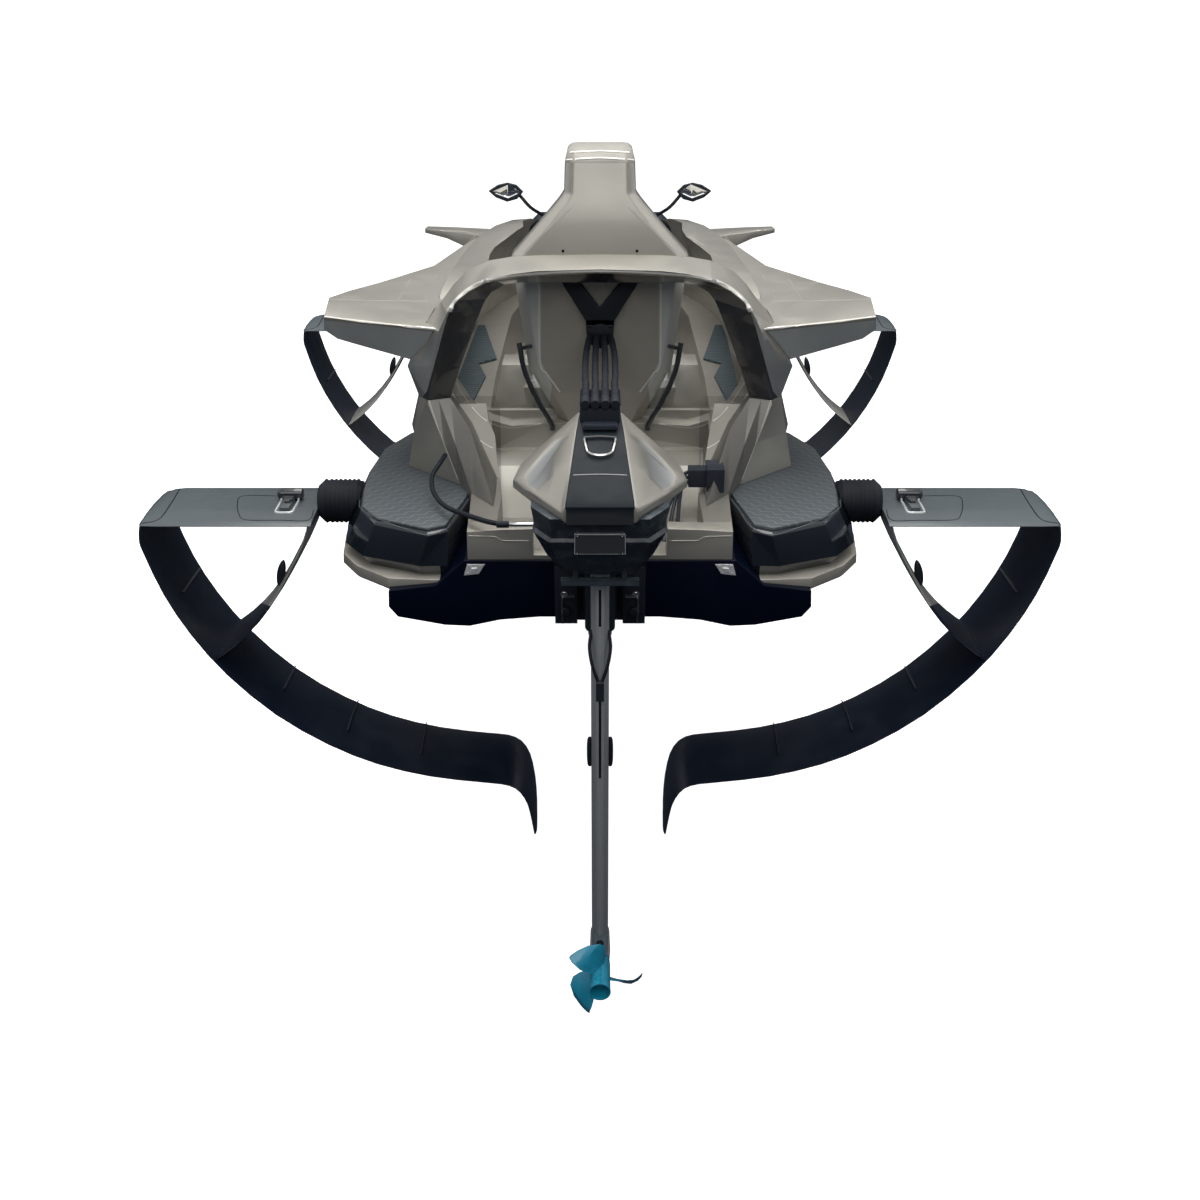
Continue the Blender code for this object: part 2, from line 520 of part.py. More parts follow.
def make_cockpit():
    base = loft("seat_base", [
        [(-0.200, -0.700, COCKPIT_FLOOR + GAP), (0.200, -0.700, COCKPIT_FLOOR + GAP), (0.220, -0.200, COCKPIT_FLOOR + GAP),
         (-0.220, -0.200, COCKPIT_FLOOR + GAP)],
        [(-0.225, -0.700, 0.300), (0.225, -0.700, 0.300), (0.200, -0.240, 0.300), (-0.200, -0.240, 0.300)],
        [(-0.215, -0.690, 0.320), (0.215, -0.690, 0.320), (0.190, -0.250, 0.320), (-0.190, -0.250, 0.320)],
    ], "taupe")
    rear_seat = loft("seat_cushion_rear", [
        [(-0.200, -0.680, 0.3205), (0.200, -0.680, 0.3205), (0.175, -0.262, 0.3205), (-0.175, -0.262, 0.3205)],
        [(-0.205, -0.685, 0.350), (0.205, -0.685, 0.350), (0.180, -0.258, 0.350), (-0.180, -0.258, 0.350)],
        [(-0.190, -0.670, 0.385), (0.190, -0.670, 0.385), (0.165, -0.275, 0.385), (-0.165, -0.275, 0.385)],
    ], "leather")
    head = loft("headrest_pad", [
        [(-0.150, -0.7345, 0.420), (0.150, -0.7345, 0.420), (0.150, -0.690, 0.420), (-0.150, -0.690, 0.420)],
        [(-0.175, -0.730, 0.520), (0.175, -0.730, 0.520), (0.175, -0.670, 0.520), (-0.175, -0.670, 0.520)],
        [(-0.170, -0.7345, 0.690), (0.170, -0.7345, 0.690), (0.170, -0.680, 0.690), (-0.170, -0.680, 0.690)],
        [(-0.085, -0.700, 0.880), (0.085, -0.700, 0.880), (0.085, -0.640, 0.880), (-0.085, -0.640, 0.880)],
        [(-0.070, -0.690, 0.940), (0.070, -0.690, 0.940), (0.070, -0.640, 0.940), (-0.070, -0.640, 0.940)],
    ], "leather")
    front_back = loft("seat_back_front", [
        [(-0.190, -0.1945, COCKPIT_FLOOR + GAP), (0.190, -0.1945, COCKPIT_FLOOR + GAP),
         (0.190, -0.080, COCKPIT_FLOOR + GAP), (-0.190, -0.080, COCKPIT_FLOOR + GAP)],
        [(-0.205, -0.220, 0.300), (0.205, -0.220, 0.300), (0.205, -0.130, 0.300), (-0.205, -0.130, 0.300)],
        [(-0.185, -0.245, 0.500), (0.185, -0.245, 0.500), (0.185, -0.190, 0.500), (-0.185, -0.190, 0.500)],
        [(-0.120, -0.260, 0.660), (0.120, -0.260, 0.660), (0.120, -0.220, 0.660), (-0.120, -0.220, 0.660)],
    ], "leather")
    front_seat = loft("seat_cushion_front", [
        [(-0.195, -0.0795, COCKPIT_FLOOR + GAP), (0.195, -0.0795, COCKPIT_FLOOR + GAP),
         (0.195, 0.290, COCKPIT_FLOOR + GAP), (-0.195, 0.290, COCKPIT_FLOOR + GAP)],
        [(-0.205, -0.085, 0.170), (0.205, -0.085, 0.170), (0.205, 0.310, 0.190), (-0.205, 0.310, 0.190)],
        [(-0.190, -0.085, 0.205), (0.190, -0.085, 0.205), (0.190, 0.295, 0.230), (-0.190, 0.295, 0.230)],
    ], "leather")
    dash = loft("dash", [
        [(-0.315, 0.700, 0.400), (0.315, 0.700, 0.400), (0.315, 0.850, 0.400), (-0.315, 0.850, 0.400)],
        [(-0.300, 0.660, 0.500), (0.300, 0.660, 0.500), (0.300, 0.850, 0.500), (-0.300, 0.850, 0.500)],
        [(-0.240, 0.660, 0.556), (0.240, 0.660, 0.556), (0.240, 0.850, 0.556), (-0.240, 0.850, 0.556)],
    ], "black")
    axis = Vector(HELM_AXIS).normalized()
    at = Vector(HELM_AT)
    column = tube("steering_column", [at - axis * 0.300, at - axis * 0.0005], 0.022, "black", 16)
    wheel = revolve("steering_wheel", [(0.0, 0.024), (0.020, 0.024), (0.030, 0.018)], at, axis, "black", 32)
    rim_path = []
    u = axis.cross(Vector((1, 0, 0))).normalized()
    v = Vector((1, 0, 0))
    for k in range(25):
        t = math.radians(-60 + 300 * k / 24)
        rim_path.append(at + axis * 0.012 + u * (0.100 * math.sin(t)) + v * (0.145 * math.cos(t)))
    join(wheel, tube("rim_tool", rim_path, 0.012, None, 8))
    for turn in (-12, 192):
        t = math.radians(turn)
        end = at + axis * 0.012 + u * (0.100 * math.sin(t)) + v * (0.145 * math.cos(t))
        join(wheel, tube("spoke_tool", [at + axis * 0.012, end], 0.009, None, 8))
    origin_to(wheel, HELM_AT)
    for side, sign in SIDES:
        mat_plan = ((0.377, -0.744), (0.359, -0.465), (0.394, -0.315), (0.340, -0.257), (0.415, 0.185), (0.440, 0.185),
                    (0.446, -0.465), (0.432, -0.744))
        loft("footwell_mat_" + side, [[(sign * x, y, z) for x, y in mat_plan]
                                      for z in (LEDGE_Z + GAP, LEDGE_Z + 0.008)], "mat")
        boss = flip([
            [(0.1900, -0.700, COCKPIT_FLOOR + GAP), (0.300, -0.700, COCKPIT_FLOOR + GAP),
             (0.300, -0.500, COCKPIT_FLOOR + GAP), (0.1900, -0.500, COCKPIT_FLOOR + GAP)],
            [(0.1950, -0.705, 0.235), (0.316, -0.705, 0.235), (0.300, -0.520, 0.300), (0.1950, -0.520, 0.300)],
            [(0.2080, -0.675, 0.362), (0.290, -0.675, 0.362), (0.290, -0.560, 0.362), (0.2080, -0.560, 0.362)],
        ], sign)
        join(base, loft("boss_tool", boss, None))
        rail = smooth_path([(sign * 0.226, -0.855, 0.475), (sign * 0.212, -0.868, 0.400), (sign * 0.178, -0.872, 0.315),
                            (sign * 0.140, -0.868, 0.246), (sign * 0.136, -0.867, 0.225)], 4)
        bar = tube("grab_bar_" + side, rail, 0.0075, "black", 8)
        join(bar, tube("stay_tool", [(sign * 0.223, -0.860, 0.460), (sign * 0.190, -0.830, 0.460)], 0.006, None, 8))
    return base, rear_seat, head, front_back, front_seat, dash, column, wheel


def make_harness():
    """Forked cable bracket behind the seat, cables, steering cable and charge socket."""
    fork_plan = [(0.112, 0.6555), (0.040, 0.540), (0.036, 0.484), (-0.036, 0.484), (-0.040, 0.540), (-0.112, 0.6555),
                 (-0.064, 0.6555), (0.000, 0.575), (0.064, 0.6555)]
    fork = prism("cable_fork", fork_plan, 1, -0.866, -0.850, "black")
    join(fork, box("foot_tool", (-0.034, -0.892, 0.486), (0.034, -0.860, 0.524), None))
    cables = box("power_cables", (-0.040, -0.900, 0.497), (0.040, -0.8925, 0.513), "black")
    for x in CABLE_X:
        route = ((x * 0.7, -0.894, 0.505), (x * 0.9, -0.940, 0.506), (x * 1.1, -1.060, 0.492), (x * 1.1, -1.230, 0.490),
                 (x, -1.380, 0.514), (x, -1.450, 0.5175))
        join(cables, tube("cable_tool", smooth_path(route, 4), CABLE_R, None, 8))
    plugs = box("cable_plugs", (-0.046, -1.520, 0.480), (0.046, -1.476, 0.510), "black")
    for x in CABLE_X:
        boot = [(0.0, 0.0095), (0.010, 0.0100), (0.040, 0.0100), (0.045, 0.0090)]
        join(plugs, revolve("boot_tool", boot, (x, -1.4505, 0.5175), (0, -1, 0), None, 12))
    return fork, cables, plugs


def make_lines():
    """Steering cable with its rod on the port side, socket with its leads to starboard."""
    route = ((-0.425, -1.052, 0.215), (-0.432, -1.100, 0.212), (-0.450, -1.150, 0.190), (-0.440, -1.210, 0.168),
             (-0.400, -1.290, 0.160), (-0.330, -1.370, 0.166), (-0.280, -1.425, 0.174), (-0.240, -1.445, TILT_Z))
    cable = tube("steering_cable", smooth_path(route, 4), 0.0065, "black", 8)
    join(cable, revolve("rod_tool", [(0.0, 0.0045), (0.1275, 0.0045)], (-0.242, TILT_Y, TILT_Z), (1, 0, 0), None, 12))
    join(cable, revolve("sleeve_tool", [(0.0, 0.0085), (0.030, 0.0085)], (-0.256, TILT_Y, TILT_Z), (1, 0, 0), None, 12))
    socket = box("charge_socket", (0.236, -1.170, 0.166), (0.296, -1.128, 0.214), "black")
    join(socket, box("flange_tool", (0.284, -1.188, 0.158), (0.330, -1.110, 0.222), None))
    for k in range(3):
        route = ((0.240, -1.140 - 0.010 * k, 0.200 - 0.012 * k), (0.224 - 0.006 * k, -1.150, 0.190 - 0.010 * k),
                 (0.212 - 0.012 * k, -1.185, 0.130), (0.205 - 0.020 * k, -1.250, 0.092), (0.195 - 0.025 * k, -1.310, 0.086),
                 (0.190 - 0.028 * k, -1.335, 0.070))
        join(socket, tube("lead_tool", smooth_path(route, 3), 0.0055, None, 8))
    return cable, socket


# Foil curve in X and Z from under the arm to the winglet tip, with the trailing edge's lag and the chord's share
FOIL_CURVE = (
    (1.2420, 0.060, 0.000, 1.000),
    (1.2490, 0.020, 0.000, 1.000),
    (1.2420, -0.022, 0.000, 1.000),
    (1.2070, -0.143, 0.000, 1.000),
    (1.1500, -0.268, 0.000, 1.000),
    (1.0660, -0.397, 0.000, 1.000),
    (0.9420, -0.530, 0.000, 1.000),
    (0.7990, -0.633, 0.000, 1.000),
    (0.6580, -0.702, 0.000, 1.000),
    (0.5060, -0.745, 0.000, 1.000),
    (0.3590, -0.766, 0.000, 1.000),
    (0.2950, -0.773, 0.000, 1.000),
    (0.2530, -0.790, 0.006, 0.975),
    (0.2270, -0.828, 0.018, 0.910),
    (0.2130, -0.880, 0.050, 0.780),
    (0.2050, -0.940, 0.090, 0.540),
    (0.2010, -0.985, 0.130, 0.200),
)
# Strut curve in X and Z from the arm's root to the blade
STRUT_CURVE = ((0.790, 0.060), (0.812, 0.000), (0.850, -0.070), (0.905, -0.160), (0.965, -0.240), (1.035, -0.310),
               (1.110, -0.365))
SECTION = ((0.0, 0.04), (0.10, 0.28), (0.35, 0.46), (0.62, 0.50), (0.85, 0.40), (0.96, 0.22), (1.0, 0.0),
           (0.96, -0.22), (0.85, -0.40), (0.62, -0.50), (0.35, -0.46), (0.10, -0.28), (0.0, -0.04))


def foil_section(x, z, normal, y_te, chord, thick):
    """Rounded wing section: chord along Y, thickness along the normal."""
    ring = []
    for t, h in SECTION:
        off = normal * (h * thick)
        ring.append((x + off.x, y_te + t * chord, z + off.z))
    return ring


def swept(rows, thick, y_te):
    """Wing sections square to a curve in X and Z."""
    pts = [Vector((row[0], 0, row[1])) for row in rows]
    rings = []
    for i, (x, z, lag, part) in enumerate(rows):
        tangent = (pts[min(i + 1, len(pts) - 1)] - pts[max(i - 1, 0)]).normalized()
        normal = Vector((tangent.z, 0, -tangent.x))
        share = 1.0 if part > 0.9 else 0.3 + 0.7 * part
        rings.append(foil_section(x, z, normal, y_te + lag * FOIL_CHORD, FOIL_CHORD * part, thick * share))
    return rings


def smooth_rows(rows, steps):
    """Denser rows on a smooth curve through the given ones."""
    out = []
    first = smooth_path([(r[0], r[1], 0.0) for r in rows], steps)
    second = smooth_path([(r[2], r[3], 0.0) for r in rows], steps)
    for a, b in zip(first, second):
        out.append((a.x, a.y, b.x, b.y))
    return out


def make_foil(end, y_shift, side, sign):
    """Arm with its latch, blade, strut and bellows of one foil."""
    tag = end + "_" + side
    y0 = FOIL_TE_Y + y_shift
    up = Vector((0, 0, 1))
    arm_rings = []
    for x, z, te, chord, thick in ((ARM_IN_X + GAP, ARM_Z, 0.0, 0.285, 1.0), (1.000, ARM_Z, 0.0, 0.285, 1.0),
                                   (1.195, ARM_Z, 0.0, 0.285, 1.0), (1.225, ARM_Z - 0.001, 0.004, 0.276, 0.95),
                                   (1.244, ARM_Z - 0.003, 0.010, 0.250, 0.80), (1.253, ARM_Z - 0.006, 0.026, 0.200, 0.45)):
        arm_rings.append(foil_section(x, z, up, y0 + te, chord, ARM_THICK * thick))
    arm = loft("foil_arm_" + tag, flip(arm_rings, sign), "foil")
    blade = loft("foil_blade_" + tag, flip(swept(smooth_rows(FOIL_CURVE, 2), FOIL_THICK, y0), sign), "foil")
    clear(blade, arm)
    keep_largest(blade)
    strut_rows = [(x, z, 0.03, 0.86) for x, z in STRUT_CURVE]
    strut = loft("foil_strut_" + tag, flip(swept(smooth_rows(strut_rows, 2), 0.017, y0), sign), "foil")
    clear(strut, blade)
    clear(strut, arm)
    keep_largest(strut)
    last = ARM_IN_X - BELLOWS_IN_X
    profile = [(0.0, BELLOWS_R - 0.018), (SLEEVE, BELLOWS_R - 0.018), (SLEEVE + 0.004, BELLOWS_R - 0.006),
               (last - 0.112, BELLOWS_R - 0.006)]
    for k in range(7):
        profile += [(last - 0.108 + k * 0.0125, BELLOWS_R), (last - 0.102 + k * 0.0125, BELLOWS_R - 0.005)]
    profile += [(last - 0.018, BELLOWS_R), (last, BELLOWS_R - 0.017)]
    bellows = revolve("bellows_" + tag, profile, (sign * BELLOWS_IN_X, BELLOWS_Y + y_shift, BELLOWS_Z), (sign, 0, 0), "black", 20)
    join(arm, side_box("latch_tool", sign, (0.855, y0 + 0.080, ARM_Z), (0.880, y0 + 0.200, ARM_Z + 0.022), None))
    join(arm, side_box("grip_tool", sign, (0.838, y0 + 0.155, ARM_Z + 0.018), (0.896, y0 + 0.178, ARM_Z + 0.040), None))
    return arm, blade, strut, bellows


def make_beam():
    """Carrier through the bow that holds both front bellows."""
    rings = []
    for x, half, z_lo, z_hi in ((-0.690, 0.055, 0.020, 0.142), (-0.40, 0.085, -0.010, 0.150), (0.0, 0.085, -0.010, 0.150),
                                (0.40, 0.085, -0.010, 0.150), (0.690, 0.055, 0.020, 0.142)):
        y = BELLOWS_Y + FOIL_SPACING
        rings.append([(x, y - half, z_lo), (x, y + half, z_lo), (x, y + half, z_hi), (x, y - half, z_hi)])
    return loft("front_carrier", rings, "slate")


def make_mirror(side, sign):
    head = prism("mirror_" + side, [(sign * 0.418, 0.672), (sign * 0.385, 0.692), (sign * 0.349, 0.700),
                                    (sign * 0.315, 0.692), (sign * 0.290, 0.668), (sign * 0.312, 0.644),
                                    (sign * 0.350, 0.634), (sign * 0.392, 0.650)], 1, 0.588, 0.618, "black")
    stalk = [(sign * 0.215, 0.690, 0.5563), (sign * 0.216, 0.686, 0.568), (sign * 0.238, 0.640, 0.588),
             (sign * 0.268, 0.604, 0.616), (sign * 0.310, 0.604, 0.664)]
    join(head, tube("stalk_tool", smooth_path(stalk, 4), 0.0065, None, 10))
    return head


def make_drive():
    """Outboard: clamp bracket, swivel bracket, motor, leg, gearcase and propeller."""
    clamp = box("clamp_bracket", (-0.115, -1.448, -0.100), (0.115, TRANSOM_Y - GAP, 0.060), "black")
    cut(clamp, box("gap_cut", (-0.058, -1.60, -0.20), (0.058, -1.428, 0.30), None))
    for sign in (-1, 1):
        ear = [(TRANSOM_Y - GAP, 0.040), (-1.440, 0.030)]
        for k in range(7):
            t = math.pi * (1 - k / 6)
            ear.append((TILT_Y + EAR_R * math.cos(t), TILT_Z + EAR_R * math.sin(t)))
        xs = sorted((sign * 0.085, sign * 0.115))
        join(clamp, prism("ear_tool", ear, 0, xs[0], xs[1], None))
        join(clamp, revolve("bolt_tool", [(0.0, 0.012), (0.018, 0.012)], (sign * 0.088, -1.446, -0.060), (0, -1, 0), None, 12))
    cut(clamp, revolve("bore_cut", [(0.0, TILT_R + GAP), (0.50, TILT_R + GAP)], (-0.25, TILT_Y, TILT_Z), (1, 0, 0), None, 24))
    up = (0, 0, 1)
    swivel = revolve("swivel_bracket", [(-0.080, 0.038), (YOKE_Z - GAP, 0.038)], (0, STEER_Y, 0), up, "black", 24)
    join(swivel, box("web_tool", (-0.032, STEER_Y, -0.060), (0.032, -1.470, 0.148), None))
    lug = [(-1.505, 0.090), (-1.436, 0.155), (-1.429, 0.175), (-1.438, 0.192), (-1.455, 0.193), (-1.463, 0.178),
           (-1.463, 0.150), (-1.505, 0.150)]
    join(swivel, prism("lug_tool", lug, 0, -0.040, 0.040, None))
    join(swivel, revolve("pin_tool", [(0.0, TILT_R), (0.228, TILT_R)], (-0.114, TILT_Y, TILT_Z), (1, 0, 0), None, 24))
    for low, high in ((0.095, 0.200), (-0.100, -0.025)):
        bore = [(low, STEER_PIN_R + GAP), (high, STEER_PIN_R + GAP)]
        cut(swivel, revolve("bore_cut", bore, (0, STEER_Y, 0), up, None, 24))
    cowl_rows = (
        (-1.455, (0.030, 0.440), (0.120, 0.360), (0.130, 0.335), (0.110, 0.302)),
        (-1.500, (0.047, 0.484), (0.190, 0.352), (0.192, 0.330), (0.165, 0.304)),
        (-1.570, (0.055, 0.458), (0.203, 0.342), (0.205, 0.3235), (0.178, 0.309)),
        (-1.670, (0.065, 0.417), (0.160, 0.350), (0.160, 0.330), (0.145, 0.317)),
        (-1.800, (0.077, 0.366), (0.084, 0.352), (0.083, 0.338), (0.078, 0.3255)),
    )
    rings = [[(x, y, z) for x, z in mirrored([(0.0, half[3][1])] + list(reversed(half)) + [(0.0, half[0][1])])]
             for y, *half in cowl_rows]
    cowl = loft("motor_cowl", rings, "taupe")
    panel_rows = ((-1.462, 0.036, 0.451, 0.462), (-1.500, 0.047, 0.484, 0.495), (-1.570, 0.0545, 0.458, 0.469),
                  (-1.700, 0.067, 0.405, 0.416), (-1.790, 0.075, 0.369, 0.380), (-1.806, 0.076, 0.3625, 0.367))
    rings = [[(-half, y, low + GAP), (half, y, low + GAP), (half - 0.003, y, high), (-half + 0.003, y, high)]
             for y, half, low, high in panel_rows]
    panel = loft("motor_panel", rings, "slate")
    join(panel, box("nose_tool", (-0.073, -1.806, 0.3255), (0.073, -1.8005, 0.3655), None))
    clear(panel, cowl)
    keep_largest(panel)
    body_rings = []
    for z, half, aft, front, soft in ((YOKE_Z, 0.092, -1.704, -1.535, 0.020), (0.2045, 0.120, -1.738, -1.512, 0.028),
                                      (0.205, 0.121, -1.739, -1.475, 0.028), (0.262, 0.149, -1.766, -1.462, 0.040),
                                      (0.270, 0.153, -1.773, -1.460, 0.040), (0.278, 0.147, -1.768, -1.462, 0.040),
                                      (0.335, 0.154, -1.795, -1.458, 0.045)):
        body_rings.append([(-half + soft, aft, z), (half - soft, aft, z), (half, aft + soft * 1.6, z), (half, front - soft, z),
                           (half - soft, front, z), (-half + soft, front, z), (-half, front - soft, z),
                           (-half, aft + soft * 1.6, z)])
    body = loft("motor_body", body_rings, "black")
    clear(body, cowl)
    keep_largest(body)
    join(body, box("handle_tool", (-0.090, -1.716, 0.136), (0.090, -1.700, 0.152), None))
    for sign in (-1, 1):
        join(body, side_box("post_tool", sign, (0.050, -1.716, 0.140), (0.062, -1.698, 0.200), None))
    join(body, revolve("yoke_tool", [(YOKE_Z, 0.036), (0.215, 0.036)], (0, STEER_Y, 0), up, None, 24))
    join(body, box("yoke_arm_tool", (-0.036, -1.560, YOKE_Z + 0.001), (0.036, STEER_Y, 0.215), None))
    join(body, revolve("king_pin_tool", [(0.100, STEER_PIN_R), (0.170, STEER_PIN_R)], (0, STEER_Y, 0), up, None, 24))
    leg_ring = ((0.0, -1.5505), (0.016, -1.566), (0.0225, -1.600), (0.0215, -1.630), (0.010, -1.664), (0.0, -1.674))
    outline = list(leg_ring) + [(-x, y) for x, y in reversed(leg_ring[1:-1])]
    leg = prism("leg", outline, 2, PROP_Z - 0.013, YOKE_Z - GAP, "alloy")
    join(leg, revolve("foot_tool", [(-0.098, 0.030), (-0.080 - GAP, 0.030)], (0, STEER_Y, 0), up, None, 24))
    join(leg, box("foot_arm_tool", (-0.018, -1.570, -0.097), (0.018, STEER_Y, -0.081), None))
    join(leg, revolve("foot_pin_tool", [(-0.090, STEER_PIN_R), (-0.030, STEER_PIN_R)], (0, STEER_Y, 0), up, None, 24))
    gear = revolve("gearcase", [(0.0, 0.004), (0.015, 0.018), (0.045, 0.027), (0.130, 0.029), (0.160, 0.027)],
                   (0, PROP_Y + 0.160, PROP_Z), (0, -1, 0), "alloy", 24)
    swing = revolve("swing_cut", [(0.0, 0.036), (0.023, 0.036), (0.024, PROP_R + 0.010), (0.120, PROP_R + 0.010)],
                    (0, PROP_Y + 0.001, PROP_Z), (0, -1, 0), None, 24)
    cut(leg, swing)
    clear(leg, gear)
    keep_largest(leg)
    hub = revolve("propeller", [(0.0, 0.026), (0.020, 0.0280), (0.110, 0.0280), (0.130, 0.0293), (0.130, 0.0258),
                                (0.085, 0.0240)], (0, PROP_Y - GAP, PROP_Z), (0, -1, 0), "teal", 24)
    for k in range(3):
        join(hub, make_prop_blade(math.radians(PROP_TURN + 120 * k)))
    origin_to(hub, (0, PROP_Y, PROP_Z))
    return clamp, swivel, cowl, panel, body, leg, gear, hub


# Propeller blade rows: radius, chord, twist from the disc, middle's angle behind the tip (degrees), rake aft
BLADE_ROWS = ((0.018, 0.046, 58, -40, 0.000), (0.034, 0.066, 54, -35, 0.001), (0.052, 0.086, 48, -30, 0.004),
              (0.072, 0.098, 43, -27, 0.008), (0.090, 0.090, 39, -22, 0.012), (0.104, 0.064, 37, -13, 0.016),
              (0.113, 0.034, 36, -6, 0.019), (PROP_R, 0.010, 35, -1, 0.021))


def make_prop_blade(turn):
    """One twisted blade: it leads forward on its clockwise side, seen from astern."""
    rings = []
    for radius, width, twist, lag, rake in BLADE_ROWS:
        a = turn + math.radians(lag)
        radial = Vector((math.cos(a), 0, math.sin(a)))
        around = Vector((-math.sin(a), 0, math.cos(a)))
        chord = around * math.cos(math.radians(twist)) - Vector((0, 1, 0)) * math.sin(math.radians(twist))
        normal = radial.cross(chord).normalized() * (0.0030 if radius < 0.1 else 0.0016)
        centre = Vector((0, PROP_Y - 0.066 - rake, PROP_Z)) + radial * radius
        half = chord * (width / 2)
        rings.append([centre - half, centre - half * 0.4 - normal, centre + half * 0.5 - normal, centre + half,
                      centre + half * 0.5 + normal, centre - half * 0.4 + normal])
    return loft("blade_tool", rings, None)


TRIMS = (
    ("lower_hull", ("front_carrier",)),
    ("deck", ("front_carrier", "lower_hull")),
    ("rear_arch", ("deck",)),
    ("seat_tower", ("deck", "rear_arch")),
    ("seat_base", ("deck", "seat_tower")),
    ("seat_cushion_rear", ("deck", "seat_tower", "seat_base")),
    ("headrest_pad", ("seat_tower", "seat_cushion_rear")),
    ("seat_back_front", ("deck", "seat_base")),
    ("seat_cushion_front", ("deck", "seat_back_front")),
    ("dash", ("deck",)),
    ("steering_column", ("dash", "deck")),
    ("cable_fork", ("rear_arch", "seat_tower")),
)
SIDE_TRIMS = (
    ("pod_flange", ("lower_hull", "deck")),
    ("pod_body", ("lower_hull", "deck", "pod_flange")),
    ("step_pad", ("lower_hull", "deck", "pod_body")),
    ("pillar", ("lower_hull", "deck", "pod_body", "pod_flange", "step_pad", "rear_arch")),
    ("step_pad", ("pillar",)),
    ("rear_wing", ("deck", "rear_arch", "pillar", "seat_tower")),
    ("front_winglet", ("deck", "lower_hull", "dash")),
    ("mirror", ("deck", "dash")),
    ("footwell_mat", ("deck", "pillar", "rear_arch")),
    ("grab_bar", ("deck", "seat_tower", "rear_arch")),
    ("bellows_rear", ("pod_body", "pod_flange", "step_pad")),
    ("bellows_front", ("front_carrier",)),
)


# Pieces whose slanted joints need a wider hairline
WIDE = ("pillar", "rear_wing")
LINE_TRIMS = (
    ("power_cables", ("cable_fork",)),
    ("cable_plugs", ("motor_panel", "motor_cowl")),
    ("steering_cable", ("pillar_l", "pod_body_l", "step_pad_l", "deck", "clamp_bracket")),
    ("charge_socket", ("deck", "pillar_r")),
)


def trim(rows):
    for name, others in rows:
        for other in others:
            clear(bpy.data.objects[name], bpy.data.objects[other])
        keep_largest(bpy.data.objects[name])


def trim_all():
    """Seat every piece on its neighbours with a hairline gap."""
    trim(TRIMS)
    for side, sign in SIDES:
        for name, others in SIDE_TRIMS:
            target = bpy.data.objects[name + "_" + side]
            for other in others:
                tool = bpy.data.objects.get(other) or bpy.data.objects[other + "_" + side]
                clear(target, tool, 2 * GAP if name in WIDE else GAP)
            keep_largest(target)
    trim(LINE_TRIMS)


def main():
    for obj in list(bpy.data.objects):
        bpy.data.objects.remove(obj)
    make_lower_hull()
    make_deck()
    make_beam()
    for end, shift in ENDS:
        for side, sign in SIDES:
            make_foil(end, shift, side, sign)
    make_arch()
    make_tower()
    for side, sign in SIDES:
        make_pod(side, sign)
        make_pillar(side, sign)
        make_wing(side, sign)
        make_winglet(side, sign)
        make_mirror(side, sign)
    make_cockpit()
    make_harness()
    make_lines()
    make_drive()
    trim_all()


main()
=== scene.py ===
"""Looks of the two-seat electric hydrofoil boat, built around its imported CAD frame.

Metres, +Z up, +Y to the bow, +X to starboard, z = 0 at the waterline.
"""

import math

import bmesh
import bpy
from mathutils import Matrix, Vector
from mathutils.bvhtree import BVHTree


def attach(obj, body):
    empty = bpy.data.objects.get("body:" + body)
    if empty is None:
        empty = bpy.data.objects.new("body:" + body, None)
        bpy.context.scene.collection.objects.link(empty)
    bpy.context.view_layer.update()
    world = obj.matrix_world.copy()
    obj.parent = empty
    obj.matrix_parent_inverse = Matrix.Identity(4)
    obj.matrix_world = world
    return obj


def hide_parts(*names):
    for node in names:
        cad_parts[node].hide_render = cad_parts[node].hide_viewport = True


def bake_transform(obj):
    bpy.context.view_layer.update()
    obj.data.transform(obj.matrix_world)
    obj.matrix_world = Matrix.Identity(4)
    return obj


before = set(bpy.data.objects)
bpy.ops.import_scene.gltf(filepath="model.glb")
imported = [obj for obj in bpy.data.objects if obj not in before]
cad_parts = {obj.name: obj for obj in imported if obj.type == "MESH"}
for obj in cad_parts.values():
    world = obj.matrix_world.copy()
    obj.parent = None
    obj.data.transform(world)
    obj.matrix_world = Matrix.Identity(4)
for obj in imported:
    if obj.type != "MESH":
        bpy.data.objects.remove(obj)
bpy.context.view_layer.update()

# The photograph's camera: image side and focal length in pixels, place in metres
IMAGE = 1200
FOCAL_PX = 1250
PITCH_PX = 619
CAM_AT = Vector((0.0, -4.30, 1.38))
PITCH = math.atan(PITCH_PX / FOCAL_PX)
FLOOR_Z = -1.21
SIDES = (("l", -1), ("r", 1))
ENDS = (("rear", 0.0), ("front", 2.1))
TILT_AT = Vector((0.0, -1.445, 0.175))
PROP_AT = Vector((0.0, -1.620, -1.062))
SEA = bpy.context.scene


def aim(obj, target):
    """Turn an object so that its -Z axis points at a target."""
    obj.rotation_euler = (Vector(target) - obj.location).to_track_quat("-Z", "Y").to_euler()


FORWARD = Vector((0.0, math.cos(PITCH), -math.sin(PITCH)))
UPWARD = Vector((0.0, math.sin(PITCH), math.cos(PITCH)))


def ray(x, y):
    """Direction in the world through a pixel of the photograph."""
    return (FORWARD * FOCAL_PX + Vector((x - IMAGE / 2, 0.0, 0.0)) + UPWARD * (IMAGE / 2 - y)).normalized()


def pixel(point):
    """Where the photograph shows a point of the world."""
    v = point - CAM_AT
    depth = v.dot(FORWARD)
    return IMAGE / 2 + FOCAL_PX * v.x / depth, IMAGE / 2 - FOCAL_PX * v.dot(UPWARD) / depth


